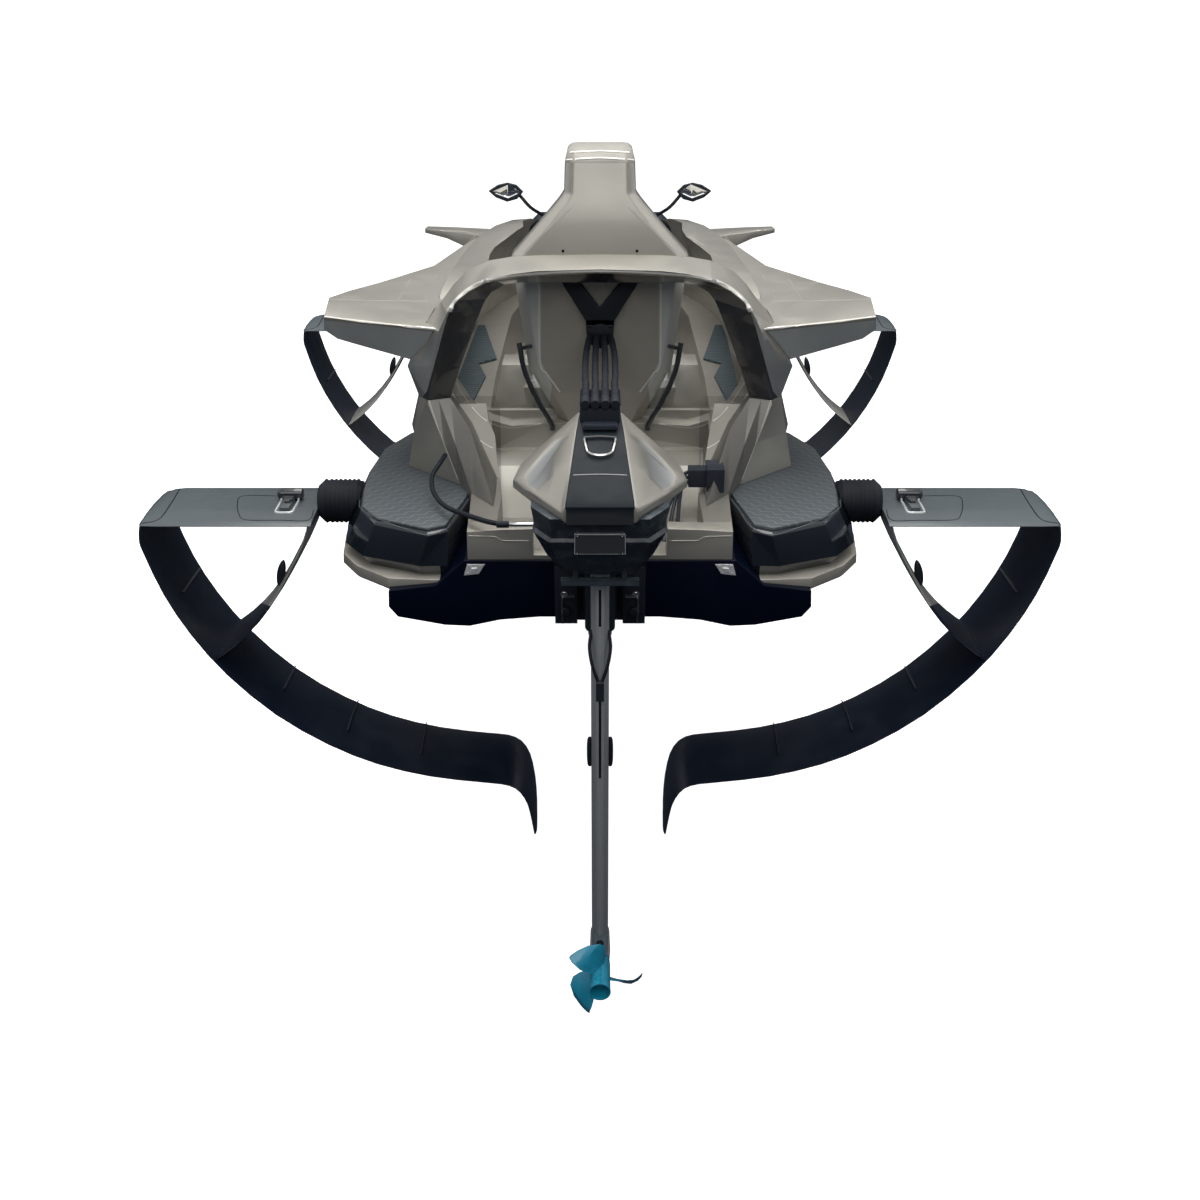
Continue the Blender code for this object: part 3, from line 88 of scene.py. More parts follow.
def make_camera():
    data = bpy.data.cameras.new("camera")
    data.sensor_fit = "HORIZONTAL"
    data.sensor_width = 36.0
    data.lens = 36.0 * FOCAL_PX / IMAGE
    camera = bpy.data.objects.new("camera", data)
    camera.location = CAM_AT
    camera.rotation_euler = (math.pi / 2 - PITCH, 0.0, 0.0)
    SEA.collection.objects.link(camera)
    SEA.camera = camera


# Area lights: name, place, target, width, height, power, colour
LIGHTS = (
    ("light_top", (0.0, -0.2, 4.4), (0.0, -0.4, 0.0), 3.8, 4.8, 235, (1.0, 0.99, 0.97)),
    ("light_left", (-4.4, 0.2, 3.0), (0.0, -0.4, 0.3), 1.6, 4.4, 26, (1.0, 1.0, 1.0)),
    ("light_right", (4.4, 0.2, 3.0), (0.0, -0.4, 0.3), 1.6, 4.4, 26, (1.0, 1.0, 1.0)),
    ("light_astern", (0.0, -6.4, 4.6), (0.0, -0.6, 0.4), 8.0, 4.0, 140, (1.0, 0.99, 0.97)),
)


def make_light(name, place, target, width, height, power, colour):
    data = bpy.data.lights.new(name, "AREA")
    data.shape = "RECTANGLE"
    data.size = width
    data.size_y = height
    data.energy = power
    data.color = colour
    lamp = bpy.data.objects.new(name, data)
    lamp.location = place
    aim(lamp, target)
    SEA.collection.objects.link(lamp)


# World from straight down to straight up: height of the direction, colour
SKY = (
    (0.0, (0.030, 0.036, 0.048)), (0.46, (0.050, 0.060, 0.080)), (0.54, (0.10, 0.11, 0.13)),
    (0.66, (0.30, 0.31, 0.33)), (0.82, (0.75, 0.75, 0.75)), (1.0, (0.95, 0.95, 0.95)),
)


def make_world():
    world = bpy.data.worlds.new("studio")
    SEA.world = world
    world.use_nodes = True
    tree = world.node_tree
    ramp = tree.nodes.new("ShaderNodeValToRGB")
    while len(ramp.color_ramp.elements) < len(SKY):
        ramp.color_ramp.elements.new(0.5)
    for stop, (height, colour) in zip(ramp.color_ramp.elements, SKY):
        stop.position = height
        stop.color = (*colour, 1.0)
    coord = tree.nodes.new("ShaderNodeTexCoord")
    split = tree.nodes.new("ShaderNodeSeparateXYZ")
    span = tree.nodes.new("ShaderNodeMapRange")
    span.inputs["From Min"].default_value = -1.0
    tree.links.new(coord.outputs["Generated"], split.inputs[0])
    tree.links.new(split.outputs["Z"], span.inputs["Value"])
    tree.links.new(span.outputs[0], ramp.inputs[0])
    tree.links.new(ramp.outputs[0], tree.nodes["Background"].inputs["Color"])
    tree.nodes["Background"].inputs["Strength"].default_value = 0.75


class Paint:
    """A Principled material with helpers for procedural detail in object space."""

    def __init__(self, name, colour, rough, metal=0.0, coat=0.0, coat_rough=0.05, sheen=0.0, specular=0.5):
        self.mat = bpy.data.materials.new(name)
        self.mat.use_nodes = True
        self.tree = self.mat.node_tree
        self.shader = self.tree.nodes["Principled BSDF"]
        self.colour = colour
        self.rough = rough
        self.height = None
        self.set("Base Color", (*colour, 1.0))
        self.set("Roughness", rough)
        self.set("Metallic", metal)
        self.set("Specular IOR Level", specular)
        self.set("Coat Weight", coat)
        self.set("Coat Roughness", coat_rough)
        self.set("Sheen Weight", sheen)
        self.where = self.node("ShaderNodeTexCoord").outputs["Object"]
        self.base = None
        self.gloss = None

    def set(self, socket, value):
        self.shader.inputs[socket].default_value = value

    def node(self, kind, **props):
        made = self.tree.nodes.new(kind)
        for key, value in props.items():
            setattr(made, key, value)
        return made

    def link(self, a, b):
        self.tree.links.new(a, b)

    def math(self, operation, a, b=0.0, c=None):
        made = self.node("ShaderNodeMath", operation=operation)
        for slot, value in zip(made.inputs, (a, b) if c is None else (a, b, c)):
            if isinstance(value, (int, float)):
                slot.default_value = value
            else:
                self.link(value, slot)
        return made.outputs[0]

    def stretch(self, scale):
        """Object coordinates scaled unevenly, for streaks and brushed grain."""
        made = self.node("ShaderNodeMapping")
        made.inputs["Scale"].default_value = scale
        self.link(self.where, made.inputs["Vector"])
        return made.outputs[0]

    def noise(self, scale, detail=4.0, where=None):
        made = self.node("ShaderNodeTexNoise")
        made.inputs["Scale"].default_value = scale
        made.inputs["Detail"].default_value = detail
        self.link(where or self.where, made.inputs["Vector"])
        return made.outputs["Fac"]

    def ramp(self, value, low, high, out_low=0.0, out_high=1.0):
        made = self.node("ShaderNodeMapRange")
        for key, number in (("From Min", low), ("From Max", high), ("To Min", out_low), ("To Max", out_high)):
            made.inputs[key].default_value = number
        self.link(value, made.inputs["Value"])
        return made.outputs[0]

    def tint(self, factor, colour):
        """Blend the base colour towards another where the factor is high."""
        made = self.node("ShaderNodeMix", data_type="RGBA")
        if self.base is None:
            made.inputs[6].default_value = (*self.colour, 1.0)
        else:
            self.link(self.base, made.inputs[6])
        made.inputs[7].default_value = (*colour, 1.0)
        self.link(factor, made.inputs[0])
        self.base = made.outputs[2]
        self.link(self.base, self.shader.inputs["Base Color"])

    def wear_rough(self, factor, amount):
        """Add to the roughness where the factor is high."""
        start = self.gloss if self.gloss is not None else self.rough
        self.gloss = self.math("MULTIPLY_ADD", factor, amount, start)
        self.link(self.gloss, self.shader.inputs["Roughness"])

    def relief(self, height, distance, strength=1.0):
        """Stack a bump layer."""
        made = self.node("ShaderNodeBump")
        made.inputs["Distance"].default_value = distance
        made.inputs["Strength"].default_value = strength
        self.link(height, made.inputs["Height"])
        if self.height is not None:
            self.link(self.height, made.inputs["Normal"])
        self.height = made.outputs[0]
        self.link(self.height, self.shader.inputs["Normal"])

    def edges(self, low=0.52, high=0.60):
        """Mask of convex edges."""
        return self.ramp(self.node("ShaderNodeNewGeometry").outputs["Pointiness"], low, high)


def paint_taupe(name="taupe_metallic", colour=(0.37, 0.355, 0.315), rough=0.36, coat=0.45):
    """Champagne metallic paint under a clear coat, with flake, orange peel and paler convex edges as painted
    highlights.
    """
    p = Paint(name, colour, rough, metal=0.5, coat=coat, coat_rough=0.08)
    p.tint(p.ramp(p.noise(2.2), 0.35, 0.75, 0.0, 0.30), tuple(c * 0.80 for c in colour))
    p.tint(p.ramp(p.noise(900.0, 2.0), 0.55, 0.75, 0.0, 0.25), tuple(min(1.0, c * 1.5) for c in colour))
    # paler convex edges: painted highlight
    p.tint(p.math("MULTIPLY", p.edges(), 0.6), tuple(min(1.0, c * 1.9) for c in colour))
    p.wear_rough(p.ramp(p.noise(14.0), 0.4, 0.8), 0.12)
    p.relief(p.noise(160.0, 2.0), 0.00012, 0.35)
    return p.mat


def paint_hull():
    """Near-black navy gelcoat with faint water marks."""
    p = Paint("hull_gloss", (0.0012, 0.0030, 0.0110), 0.30, specular=0.12)
    p.tint(p.ramp(p.noise(3.0), 0.5, 0.8, 0.0, 0.4), (0.003, 0.006, 0.017))
    # paler convex edges: painted highlight
    p.tint(p.math("MULTIPLY", p.edges(0.54, 0.62), 0.35), (0.05, 0.07, 0.09))
    p.wear_rough(p.ramp(p.noise(9.0, 6.0), 0.45, 0.75), 0.16)
    p.relief(p.noise(60.0, 2.0), 0.0002, 0.25)
    return p.mat


def paint_gloss(name, colour, rough=0.14, coat=0.7, specular=0.5):
    """Polished dark moulding with faint hairline scuffs."""
    p = Paint(name, colour, rough, coat=coat, coat_rough=0.04, specular=specular)
    # paler convex edges: painted highlight
    p.tint(p.math("MULTIPLY", p.edges(), 0.35), tuple(c + 0.09 for c in colour))
    p.wear_rough(p.ramp(p.noise(20.0, 5.0), 0.5, 0.8), 0.16)
    p.relief(p.noise(220.0, 2.0), 0.0001, 0.3)
    return p.mat


def paint_plastic(name, colour, rough=0.42, grain=700.0, specular=0.35, mottle=0.0):
    """Moulded plastic with a fine grain and paler convex edges as painted highlights."""
    p = Paint(name, colour, rough, specular=specular)
    if mottle:
        p.tint(p.ramp(p.noise(38.0, 6.0), 0.48, 0.72, 0.0, mottle), tuple(c * 4.0 + 0.02 for c in colour))
        p.relief(p.noise(70.0, 5.0), 0.0016, 0.6)
    # paler convex edges: painted highlight
    p.tint(p.math("MULTIPLY", p.edges(), 0.4), tuple(c * 2.5 + 0.012 for c in colour))
    p.wear_rough(p.ramp(p.noise(18.0), 0.4, 0.8), 0.16)
    p.relief(p.noise(grain, 3.0), 0.00018, 0.45)
    return p.mat


def paint_foil(name="foil_skin", colour=(0.0035, 0.0080, 0.0190), rough=0.36, coat=0.2):
    """Satin foil skin with a faint crosswise fibre and handling marks."""
    p = Paint(name, colour, rough, coat=coat, coat_rough=0.22)
    paler = tuple(c * 1.6 + 0.004 for c in colour)
    p.tint(p.ramp(p.noise(2.0), 0.4, 0.7, 0.0, 0.5), paler)
    p.tint(p.ramp(p.noise(1.0, 3.0, p.stretch((30.0, 900.0, 30.0))), 0.5, 0.8, 0.0, 0.3), paler)
    p.wear_rough(p.ramp(p.noise(12.0, 6.0), 0.45, 0.8), 0.2)
    p.relief(p.noise(420.0, 2.0), 0.0001, 0.35)
    return p.mat


def paint_alloy():
    """Grey anodised aluminium with vertical drawing marks."""
    p = Paint("anodised", (0.36, 0.385, 0.40), 0.34, metal=0.3)
    p.tint(p.ramp(p.noise(1.0, 4.0, p.stretch((900.0, 900.0, 6.0))), 0.4, 0.75, 0.0, 0.5), (0.14, 0.15, 0.165))
    # paler convex edges: painted highlight
    p.tint(p.math("MULTIPLY", p.edges(), 0.6), (0.62, 0.63, 0.65))
    p.wear_rough(p.ramp(p.noise(8.0), 0.4, 0.8), 0.15)
    p.relief(p.noise(1.0, 3.0, p.stretch((1200.0, 1200.0, 8.0))), 0.0001, 0.3)
    return p.mat


def paint_chrome(name="chrome", colour=(0.78, 0.78, 0.77), rough=0.10):
    p = Paint(name, colour, rough, metal=1.0)
    p.wear_rough(p.ramp(p.noise(60.0, 5.0), 0.5, 0.8), 0.14)
    p.relief(p.noise(300.0, 2.0), 0.00008, 0.2)
    return p.mat


def paint_propeller():
    p = Paint("propeller_blue", (0.008, 0.230, 0.370), 0.24, coat=0.6, coat_rough=0.1)
    p.tint(p.ramp(p.noise(30.0), 0.4, 0.75, 0.0, 0.45), (0.015, 0.34, 0.48))
    # paler convex edges: painted highlight
    p.tint(p.math("MULTIPLY", p.edges(), 0.35), (0.15, 0.50, 0.64))
    p.wear_rough(p.ramp(p.noise(50.0, 5.0), 0.5, 0.8), 0.15)
    p.relief(p.noise(260.0, 2.0), 0.0001, 0.3)
    return p.mat


def paint_leather():
    p = Paint("seat_leather", (0.030, 0.031, 0.034), 0.48, sheen=0.15)
    cells = p.node("ShaderNodeTexVoronoi", feature="DISTANCE_TO_EDGE")
    cells.inputs["Scale"].default_value = 420.0
    p.link(p.where, cells.inputs["Vector"])
    p.tint(p.ramp(p.noise(12.0), 0.4, 0.8, 0.0, 0.5), (0.055, 0.055, 0.058))
    p.relief(p.ramp(cells.outputs["Distance"], 0.0, 0.12), 0.0005, 0.5)
    p.relief(p.noise(90.0), 0.0006, 0.25)
    return p.mat


def paint_mat():
    """Blue-grey footwell mat with wavy ribs across it."""
    p = Paint("footwell_mat", (0.050, 0.072, 0.084), 0.66)
    wave = p.node("ShaderNodeTexWave", wave_type="BANDS", bands_direction="Y", wave_profile="SIN")
    for key, number in (("Scale", 14.0), ("Distortion", 3.2), ("Detail", 0.0), ("Detail Scale", 1.4)):
        wave.inputs[key].default_value = number
    p.link(p.where, wave.inputs["Vector"])
    # darker in the troughs between the ribs: painted shade
    p.tint(p.ramp(wave.outputs["Fac"], 0.30, 0.02, 0.0, 0.75), (0.012, 0.018, 0.022))
    p.relief(wave.outputs["Fac"], 0.003, 0.8)
    p.relief(p.noise(600.0, 2.0), 0.0002, 0.4)
    return p.mat


# Tread of the step pads: size of a cell and width of a line
TREAD_CELL = 0.027
TREAD_LINE = 0.045


def paint_tread():
    """Slate pad with the pale lines of interlocking stepped blocks."""
    p = Paint("step_tread", (0.060, 0.072, 0.080), 0.5, specular=0.45)
    split = p.node("ShaderNodeSeparateXYZ")
    p.link(p.where, split.inputs[0])
    across = p.math("MULTIPLY", p.math("ABSOLUTE", split.outputs["X"]), 1.0 / TREAD_CELL)
    along = p.math("MULTIPLY", split.outputs["Y"], 1.35 / TREAD_CELL)
    across = p.math("ADD", across, p.math("MULTIPLY", along, 0.28))
    low = p.math("LESS_THAN", p.math("FLOORED_MODULO", along, 2.0), 1.0)
    here = p.math("FLOORED_MODULO", p.math("ADD", across, low), 2.0)
    upright = p.math("LESS_THAN", here, 2 * TREAD_LINE)
    shelf = p.math("LESS_THAN", p.math("FLOORED_MODULO", along, 1.0), 2 * TREAD_LINE)
    part = p.math("GREATER_THAN", p.math("FLOORED_MODULO", p.math("ADD", across, p.math("FLOOR", along)), 2.0), 1.0)
    line = p.math("MAXIMUM", upright, p.math("MULTIPLY", shelf, part))
    p.tint(p.ramp(p.noise(700.0, 2.0), 0.45, 0.7, 0.0, 0.5), (0.11, 0.125, 0.135))
    p.tint(p.math("MULTIPLY", line, 0.55), (0.24, 0.26, 0.27))
    p.relief(line, 0.0008, 0.6)
    p.relief(p.noise(900.0, 2.0), 0.0003, 0.5)
    return p.mat


def paint_floor():
    """Pale studio floor that reads as white."""
    p = Paint("studio_floor", (0.92, 0.92, 0.92), 0.85)
    p.set("Emission Color", (1.0, 1.0, 1.0, 1.0))
    p.set("Emission Strength", 0.75)
    p.set("Specular IOR Level", 0.0)
    p.relief(p.noise(40.0), 0.0002, 0.1)
    return p.mat


TAUPE = paint_taupe()
# lighter copy of the taupe paint: painted light
TAUPE_PAINTED_LIGHT = paint_taupe("taupe_painted_light", (0.44, 0.44, 0.41), 0.34)
# greyer, darker copy of the taupe paint: painted shade on aft-facing faces, in creases and in recesses
TAUPE_PAINTED_SHADE = paint_taupe("taupe_cool_painted_shade", (0.30, 0.31, 0.31), 0.36, 0.4)
# pale copy of the taupe paint: painted light and reflection on the wing aft faces and shell flanks, and the own colour
# of the small pale plates and latch frames
PALE_TRIM_AND_PAINTED_LIGHT = paint_taupe("taupe_pale_trim_and_painted_light", (0.52, 0.54, 0.53), 0.40, 0.3)
# darker, rough copy of the taupe paint without coat: painted shade where a highlight would fall
MATTE_PAINTED_SHADE = paint_taupe("taupe_matte_painted_shade", (0.30, 0.29, 0.265), 0.66, 0.0)
# darker copy of the taupe paint: painted shade
SHADE = paint_taupe("taupe_shade", (0.235, 0.225, 0.20), 0.42, 0.3)
# dark brown copy of the taupe paint: painted shade
TAUPE_PAINTED_DEEP_SHADE = paint_taupe("taupe_painted_deep_shade", (0.17, 0.165, 0.15), 0.40, 0.3)
# near-black glossy copy of the taupe paint: painted shadow
TAUPE_PAINTED_SHADOW = paint_taupe("taupe_shadow", (0.055, 0.056, 0.060), 0.20, 0.9)
# pale cream: painted highlight along edges, and the own colour of stitches and lock marks
CREAM_AND_PAINTED_HIGHLIGHT = paint_taupe("cream_and_painted_edge_highlight", (0.66, 0.62, 0.53), 0.36, 0.3)
HULL = paint_hull()
GLOSS = paint_gloss("gloss_black", (0.008, 0.012, 0.018))
PANEL = paint_gloss("slate_panel", (0.006, 0.011, 0.016), 0.48, 0.0, 0.13)
BLACK = paint_plastic("satin_black", (0.0075, 0.0110, 0.0180))
BODY = paint_plastic("speckled_black", (0.0200, 0.0280, 0.0360), 0.26, specular=0.5, mottle=0.35)
SEAM = paint_plastic("seam_dark", (0.0030, 0.0035, 0.0050), 0.6, specular=0.1)
RUBBER = paint_plastic("rubber", (0.0050, 0.0075, 0.0125), 0.62, 500.0, 0.25)
FOIL = paint_foil()
ARM = paint_foil("arm_skin", (0.056, 0.070, 0.078), 0.36, 0.25)
# pale copy of the foil skin: painted light from below on the struts
STRUT = paint_foil("strut_skin", (0.42, 0.42, 0.39), 0.34, 0.4)
ALLOY = paint_alloy()
CHROME = paint_chrome()
MIRROR = paint_chrome("mirror_glass", (0.85, 0.87, 0.88), 0.02)
TEAL = paint_propeller()
LEATHER = paint_leather()
MAT = paint_mat()
TREAD = paint_tread()


def link(obj, body="boat"):
    """Put a made object in the scene and let it ride on a body."""
    if obj.name not in SEA.collection.objects:
        SEA.collection.objects.link(obj)
    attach(obj, body)
    return obj


def smooth(mesh, angle=35.0):
    mesh.shade_smooth()
    mesh.set_sharp_from_angle(angle=math.radians(angle))


def soften(node, material, width=0.005, body="boat", angle=22.0, segments=3):
    """A copy of a CAD node with rounded edges, which stands in for it."""
    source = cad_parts[node]
    bm = bmesh.new()
    bm.from_mesh(source.data)
    bmesh.ops.remove_doubles(bm, verts=bm.verts, dist=0.00005)
    bmesh.ops.dissolve_degenerate(bm, edges=bm.edges, dist=0.0002)
    bmesh.ops.dissolve_limit(bm, angle_limit=math.radians(1.5), verts=bm.verts, edges=bm.edges)
    mesh = bpy.data.meshes.new(node + "_skin")
    bm.to_mesh(mesh)
    bm.free()
    mesh.materials.append(material)
    obj = bpy.data.objects.new(node + "_skin", mesh)
    SEA.collection.objects.link(obj)
    if width:
        bevel = obj.modifiers.new("edges", "BEVEL")
        bevel.width = width
        bevel.segments = segments
        bevel.limit_method = "ANGLE"
        bevel.angle_limit = math.radians(angle)
        bevel.use_clamp_overlap = True
        apply_modifiers(obj)
    smooth(obj.data, 40.0)
    link(obj, body)
    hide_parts(node)
    return obj


def apply_modifiers(obj):
    graph = bpy.context.evaluated_depsgraph_get()
    mesh = bpy.data.meshes.new_from_object(obj.evaluated_get(graph))
    obj.modifiers.clear()
    old = obj.data
    obj.data = mesh
    mesh.name = old.name
    bpy.data.meshes.remove(old)


def tree_of(*names):
    """Search trees of finished pieces, by name of the CAD node that each stands for."""
    return [BVHTree.FromObject(SKIN[n], bpy.context.evaluated_depsgraph_get()) for n in names]


def smooth_line(points, steps=5):
    """Denser points on a smooth curve through the given ones, in any number of dimensions."""
    out = []
    last = len(points) - 1
    for i in range(last):
        p0, p1, p2, p3 = (points[max(0, min(last, i + k))] for k in (-1, 0, 1, 2))
        for k in range(steps):
            t = k / steps
            out.append(tuple(0.5 * (2 * b + (c - a) * t + (2 * a - 5 * b + 4 * c - d) * t * t
                                    + (3 * b - a - 3 * c + d) * t ** 3)
                             for a, b, c, d in zip(p0, p1, p2, p3)))
    out.append(tuple(points[last]))
    return out


def straight_line(points, steps=5):
    out = []
    for a, b in zip(points, points[1:]):
        out += [tuple(p + (q - p) * k / steps for p, q in zip(a, b)) for k in range(steps)]
    out.append(tuple(points[-1]))
    return out


def first_hit(trees, origin, direction):
    found = [tree.ray_cast(origin, direction)[:4] for tree in trees]
    found = [f for f in found if f[0] is not None]
    return min(found, key=lambda f: f[3]) if found else None


def seen(names, pixels, curved=True, steps=5):
    """Places and normals on pieces that a line of the photograph passes over."""
    trees = tree_of(*names)
    line = smooth_line(pixels, steps) if curved else straight_line(pixels, steps)
    hits = [first_hit(trees, CAM_AT, ray(x, y)) for x, y in line]
    return [(h[0], h[1]) for h in hits if h]


def flip(v):
    return Vector((-v.x, v.y, v.z))


# A jump between neighbouring points larger than this splits a line in two
JUMP = 0.06


def bead(bm, rows, width, height, sink=0.0006):
    """A low rounded bead along places with their normals; width may be a number or one per place."""
    runs = [[rows[0]]]
    for row in rows[1:]:
        gap = (row[0] - runs[-1][-1][0]).length
        if gap > JUMP:
            runs.append([])
        if gap > 0.0002 or not runs[-1]:
            runs[-1].append(row)
    for run in runs:
        if len(run) < 2:
            continue
        rings = []
        for i, (place, normal) in enumerate(run):
            ahead = run[min(i + 1, len(run) - 1)]
            behind = run[max(i - 1, 0)]
            n = (normal + 0.6 * ahead[1] + 0.6 * behind[1]).normalized()
            across = (ahead[0] - behind[0]).cross(n).normalized()
            rings.append([bm.verts.new(place + across * (width * u) + n * (height * v - sink * (v == 0)))
                          for u, v in ((-0.5, 0), (-0.34, 0.8), (0, 1), (0.34, 0.8), (0.5, 0))])
        for a, b in zip(rings, rings[1:]):
            for k in range(5):
                bm.faces.new((a[k], a[(k + 1) % 5], b[(k + 1) % 5], b[k]))
        bm.faces.new(rings[0])
        bm.faces.new(tuple(reversed(rings[-1])))


def piece(name, bm, material, body="boat", angle=40.0):
    """Finish a mesh as a scene piece that rides on a body."""
    bmesh.ops.recalc_face_normals(bm, faces=bm.faces)
    mesh = bpy.data.meshes.new(name)
    bm.to_mesh(mesh)
    bm.free()
    mesh.materials.append(material)
    obj = bpy.data.objects.new(name, mesh)
    SEA.collection.objects.link(obj)
    smooth(mesh, angle)
    return link(obj, body)


def strip(name, names, lines, width, height, material, body="boat", curved=True, twin=True, steps=5):
    """Beads along lines of the photograph on the pieces that they cross; twin adds their mirror images."""
    bm = bmesh.new()
    for line in lines:
        rows = seen(names, line, curved, steps)
        if len(rows) > 1:
            bead(bm, rows, width, height)
            if twin:
                bead(bm, [(flip(p), flip(n)) for p, n in rows], width, height)
    return piece(name, bm, material, body)


def lathe(bm, profile, place, axis, segments=12, turn=0.0):
    """Turned form: profile of (radius, distance along the axis)."""
    spin = Vector(axis).to_track_quat("Z", "Y")
    rings = []
    for radius, reach in profile:
        if radius < 1e-6:
            rings.append([bm.verts.new(place + spin @ Vector((0, 0, reach)))])
            continue
        angles = [math.tau * k / segments + turn for k in range(segments)]
        rings.append([bm.verts.new(place + spin @ Vector((radius * math.cos(t), radius * math.sin(t), reach)))
                      for t in angles])
    for a, b in zip(rings, rings[1:]):
        for k in range(segments):
            j = (k + 1) % segments
            corners = [a[k % len(a)], a[j % len(a)], b[j % len(b)], b[k % len(b)]]
            unique = list(dict.fromkeys(corners))
            if len(unique) > 2:
                bm.faces.new(unique)
    for ring in (rings[0], rings[-1]):
        if len(ring) > 2:
            bm.faces.new(ring)


def screw(bm, place, normal, radius, height=0.0025):
    """Socket-head screw with a rounded rim."""
    lathe(bm, [(radius, -0.001), (radius, height * 0.6), (radius * 0.86, height), (radius * 0.5, height),
               (radius * 0.45, height * 0.3), (0.0, height * 0.3)], place, normal, 12)


def hex_bolt(bm, place, normal, radius, height=0.006):
    lathe(bm, [(radius * 1.45, -0.001), (radius * 1.45, 0.001)], place, normal, 16)
    lathe(bm, [(radius, 0.001), (radius, height * 0.8), (radius * 0.85, height), (0.0, height)], place, normal, 6)


def screws(name, names, pixels, radius, material, body="boat", twin=True, kind=screw):
    bm = bmesh.new()
    trees = tree_of(*names)
    for x, y in pixels:
        hit = first_hit(trees, CAM_AT, ray(x, y))
        if hit:
            kind(bm, hit[0], hit[1], radius)
            if twin:
                kind(bm, flip(hit[0]), flip(hit[1]), radius)
    return piece(name, bm, material, body)


def hose(bm, route, radius, sides=10, rings=None):
    """Round tube through points; rings swells it along its length, from 0 to 1."""
    points = [Vector(p) for p in route]
    lift = Vector((0, 0, 1))
    loops = []
    for i, place in enumerate(points):
        ahead = (points[min(i + 1, len(points) - 1)] - points[max(i - 1, 0)]).normalized()
        side = ahead.cross(lift)
        if side.length < 0.05:
            side = ahead.cross(Vector((1, 0, 0)))
        side.normalize()
        lift = side.cross(ahead).normalized()
        r = radius * (rings(i / (len(points) - 1)) if rings else 1.0)
        loops.append([bm.verts.new(place + side * (r * math.cos(t)) + lift * (r * math.sin(t)))
                      for t in (math.tau * k / sides for k in range(sides))])
    for a, b in zip(loops, loops[1:]):
        for k in range(sides):
            bm.faces.new((a[k], a[(k + 1) % sides], b[(k + 1) % sides], b[k]))
    bm.faces.new(loops[0])
    bm.faces.new(tuple(reversed(loops[-1])))


def slab(bm, outline, normal, thick, bevel=0.0008):
    """Flat plate with chamfered upper edges from an outline in the world."""
    up = Vector(normal).normalized()
    centre = sum((Vector(p) for p in outline), Vector()) / len(outline)
    levels = ((0.0, -0.0005), (0.0, thick - bevel), (bevel, thick))
    rings = []
    for inward, rise in levels:
        rings.append([bm.verts.new(Vector(p) + (centre - Vector(p)).normalized() * inward + up * rise) for p in outline])
    count = len(outline)
    for a, b in zip(rings, rings[1:]):
        for k in range(count):
            bm.faces.new((a[k], a[(k + 1) % count], b[(k + 1) % count], b[k]))
    bm.faces.new(rings[0])
    bm.faces.new(rings[-1])


def inside(x, y, outline):
    """Whether a pixel lies in an outline, by counting crossings."""
    odd = False
    for (ax, ay), (bx, by) in zip(outline, outline[1:] + outline[:1]):
        if (ay > y) != (by > y) and x < ax + (y - ay) * (bx - ax) / (by - ay):
            odd = not odd
    return odd


def region(name, outline, material, inset=0.0, depth=0.0, rim=None, twin=True):
    """Cut an outline of the photograph into a piece's surface, repaint it and sink or raise it."""
    obj = SKIN[name]
    mesh = obj.data
    for needed in (material, rim):
        if needed and needed.name not in mesh.materials:
            mesh.materials.append(needed)
    index = mesh.materials.find(material.name)
    rim_index = mesh.materials.find((rim or material).name)
    bm = bmesh.new()
    bm.from_mesh(mesh)
    tree = BVHTree.FromBMesh(bm)

    def facing(face):
        centre = face.calc_center_median()
        view = centre - CAM_AT
        if face.normal.dot(view) > -0.02 * view.length:
            return None
        hit = tree.ray_cast(CAM_AT, view.normalized())
        if hit[0] is None or hit[3] < view.length - 0.004:
            return None
        return pixel(centre)

    for mirror in ((False, True) if twin else (False,)):
        ring = [(IMAGE - x, y) if mirror else (x, y) for x, y in outline]
        low_x, high_x = min(p[0] for p in ring), max(p[0] for p in ring)
        low_y, high_y = min(p[1] for p in ring), max(p[1] for p in ring)

        def near(face):
            marks = [pixel(v.co) for v in face.verts]
            return (min(m[0] for m in marks) < high_x and max(m[0] for m in marks) > low_x
                    and min(m[1] for m in marks) < high_y and max(m[1] for m in marks) > low_y)

        faces = [f for f in bm.faces if f.normal.dot(f.calc_center_median() - CAM_AT) < 0 and near(f)]
        bmesh.ops.triangulate(bm, faces=faces)
        for (ax, ay), (bx, by) in zip(ring, ring[1:] + ring[:1]):
            faces = [f for f in bm.faces if f.normal.dot(f.calc_center_median() - CAM_AT) < 0 and near(f)]
            geom = list({e for f in faces for e in f.edges}) + list({v for f in faces for v in f.verts}) + faces
            bmesh.ops.bisect_plane(bm, geom=geom, dist=0.00002, plane_co=CAM_AT,
                                   plane_no=ray(ax, ay).cross(ray(bx, by)).normalized())
        picked = []
        for face in bm.faces:
            if near(face):
                spot = facing(face)
                if spot and inside(spot[0], spot[1], ring):
                    picked.append(face)
        for face in picked:
            face.material_index = index
        if inset and picked:
            made = bmesh.ops.inset_region(bm, faces=picked, thickness=inset, depth=depth, use_even_offset=True,
                                          use_boundary=True)
            for face in made["faces"]:
                face.material_index = rim_index
    bm.to_mesh(mesh)
    bm.free()
    smooth(mesh, 40.0)


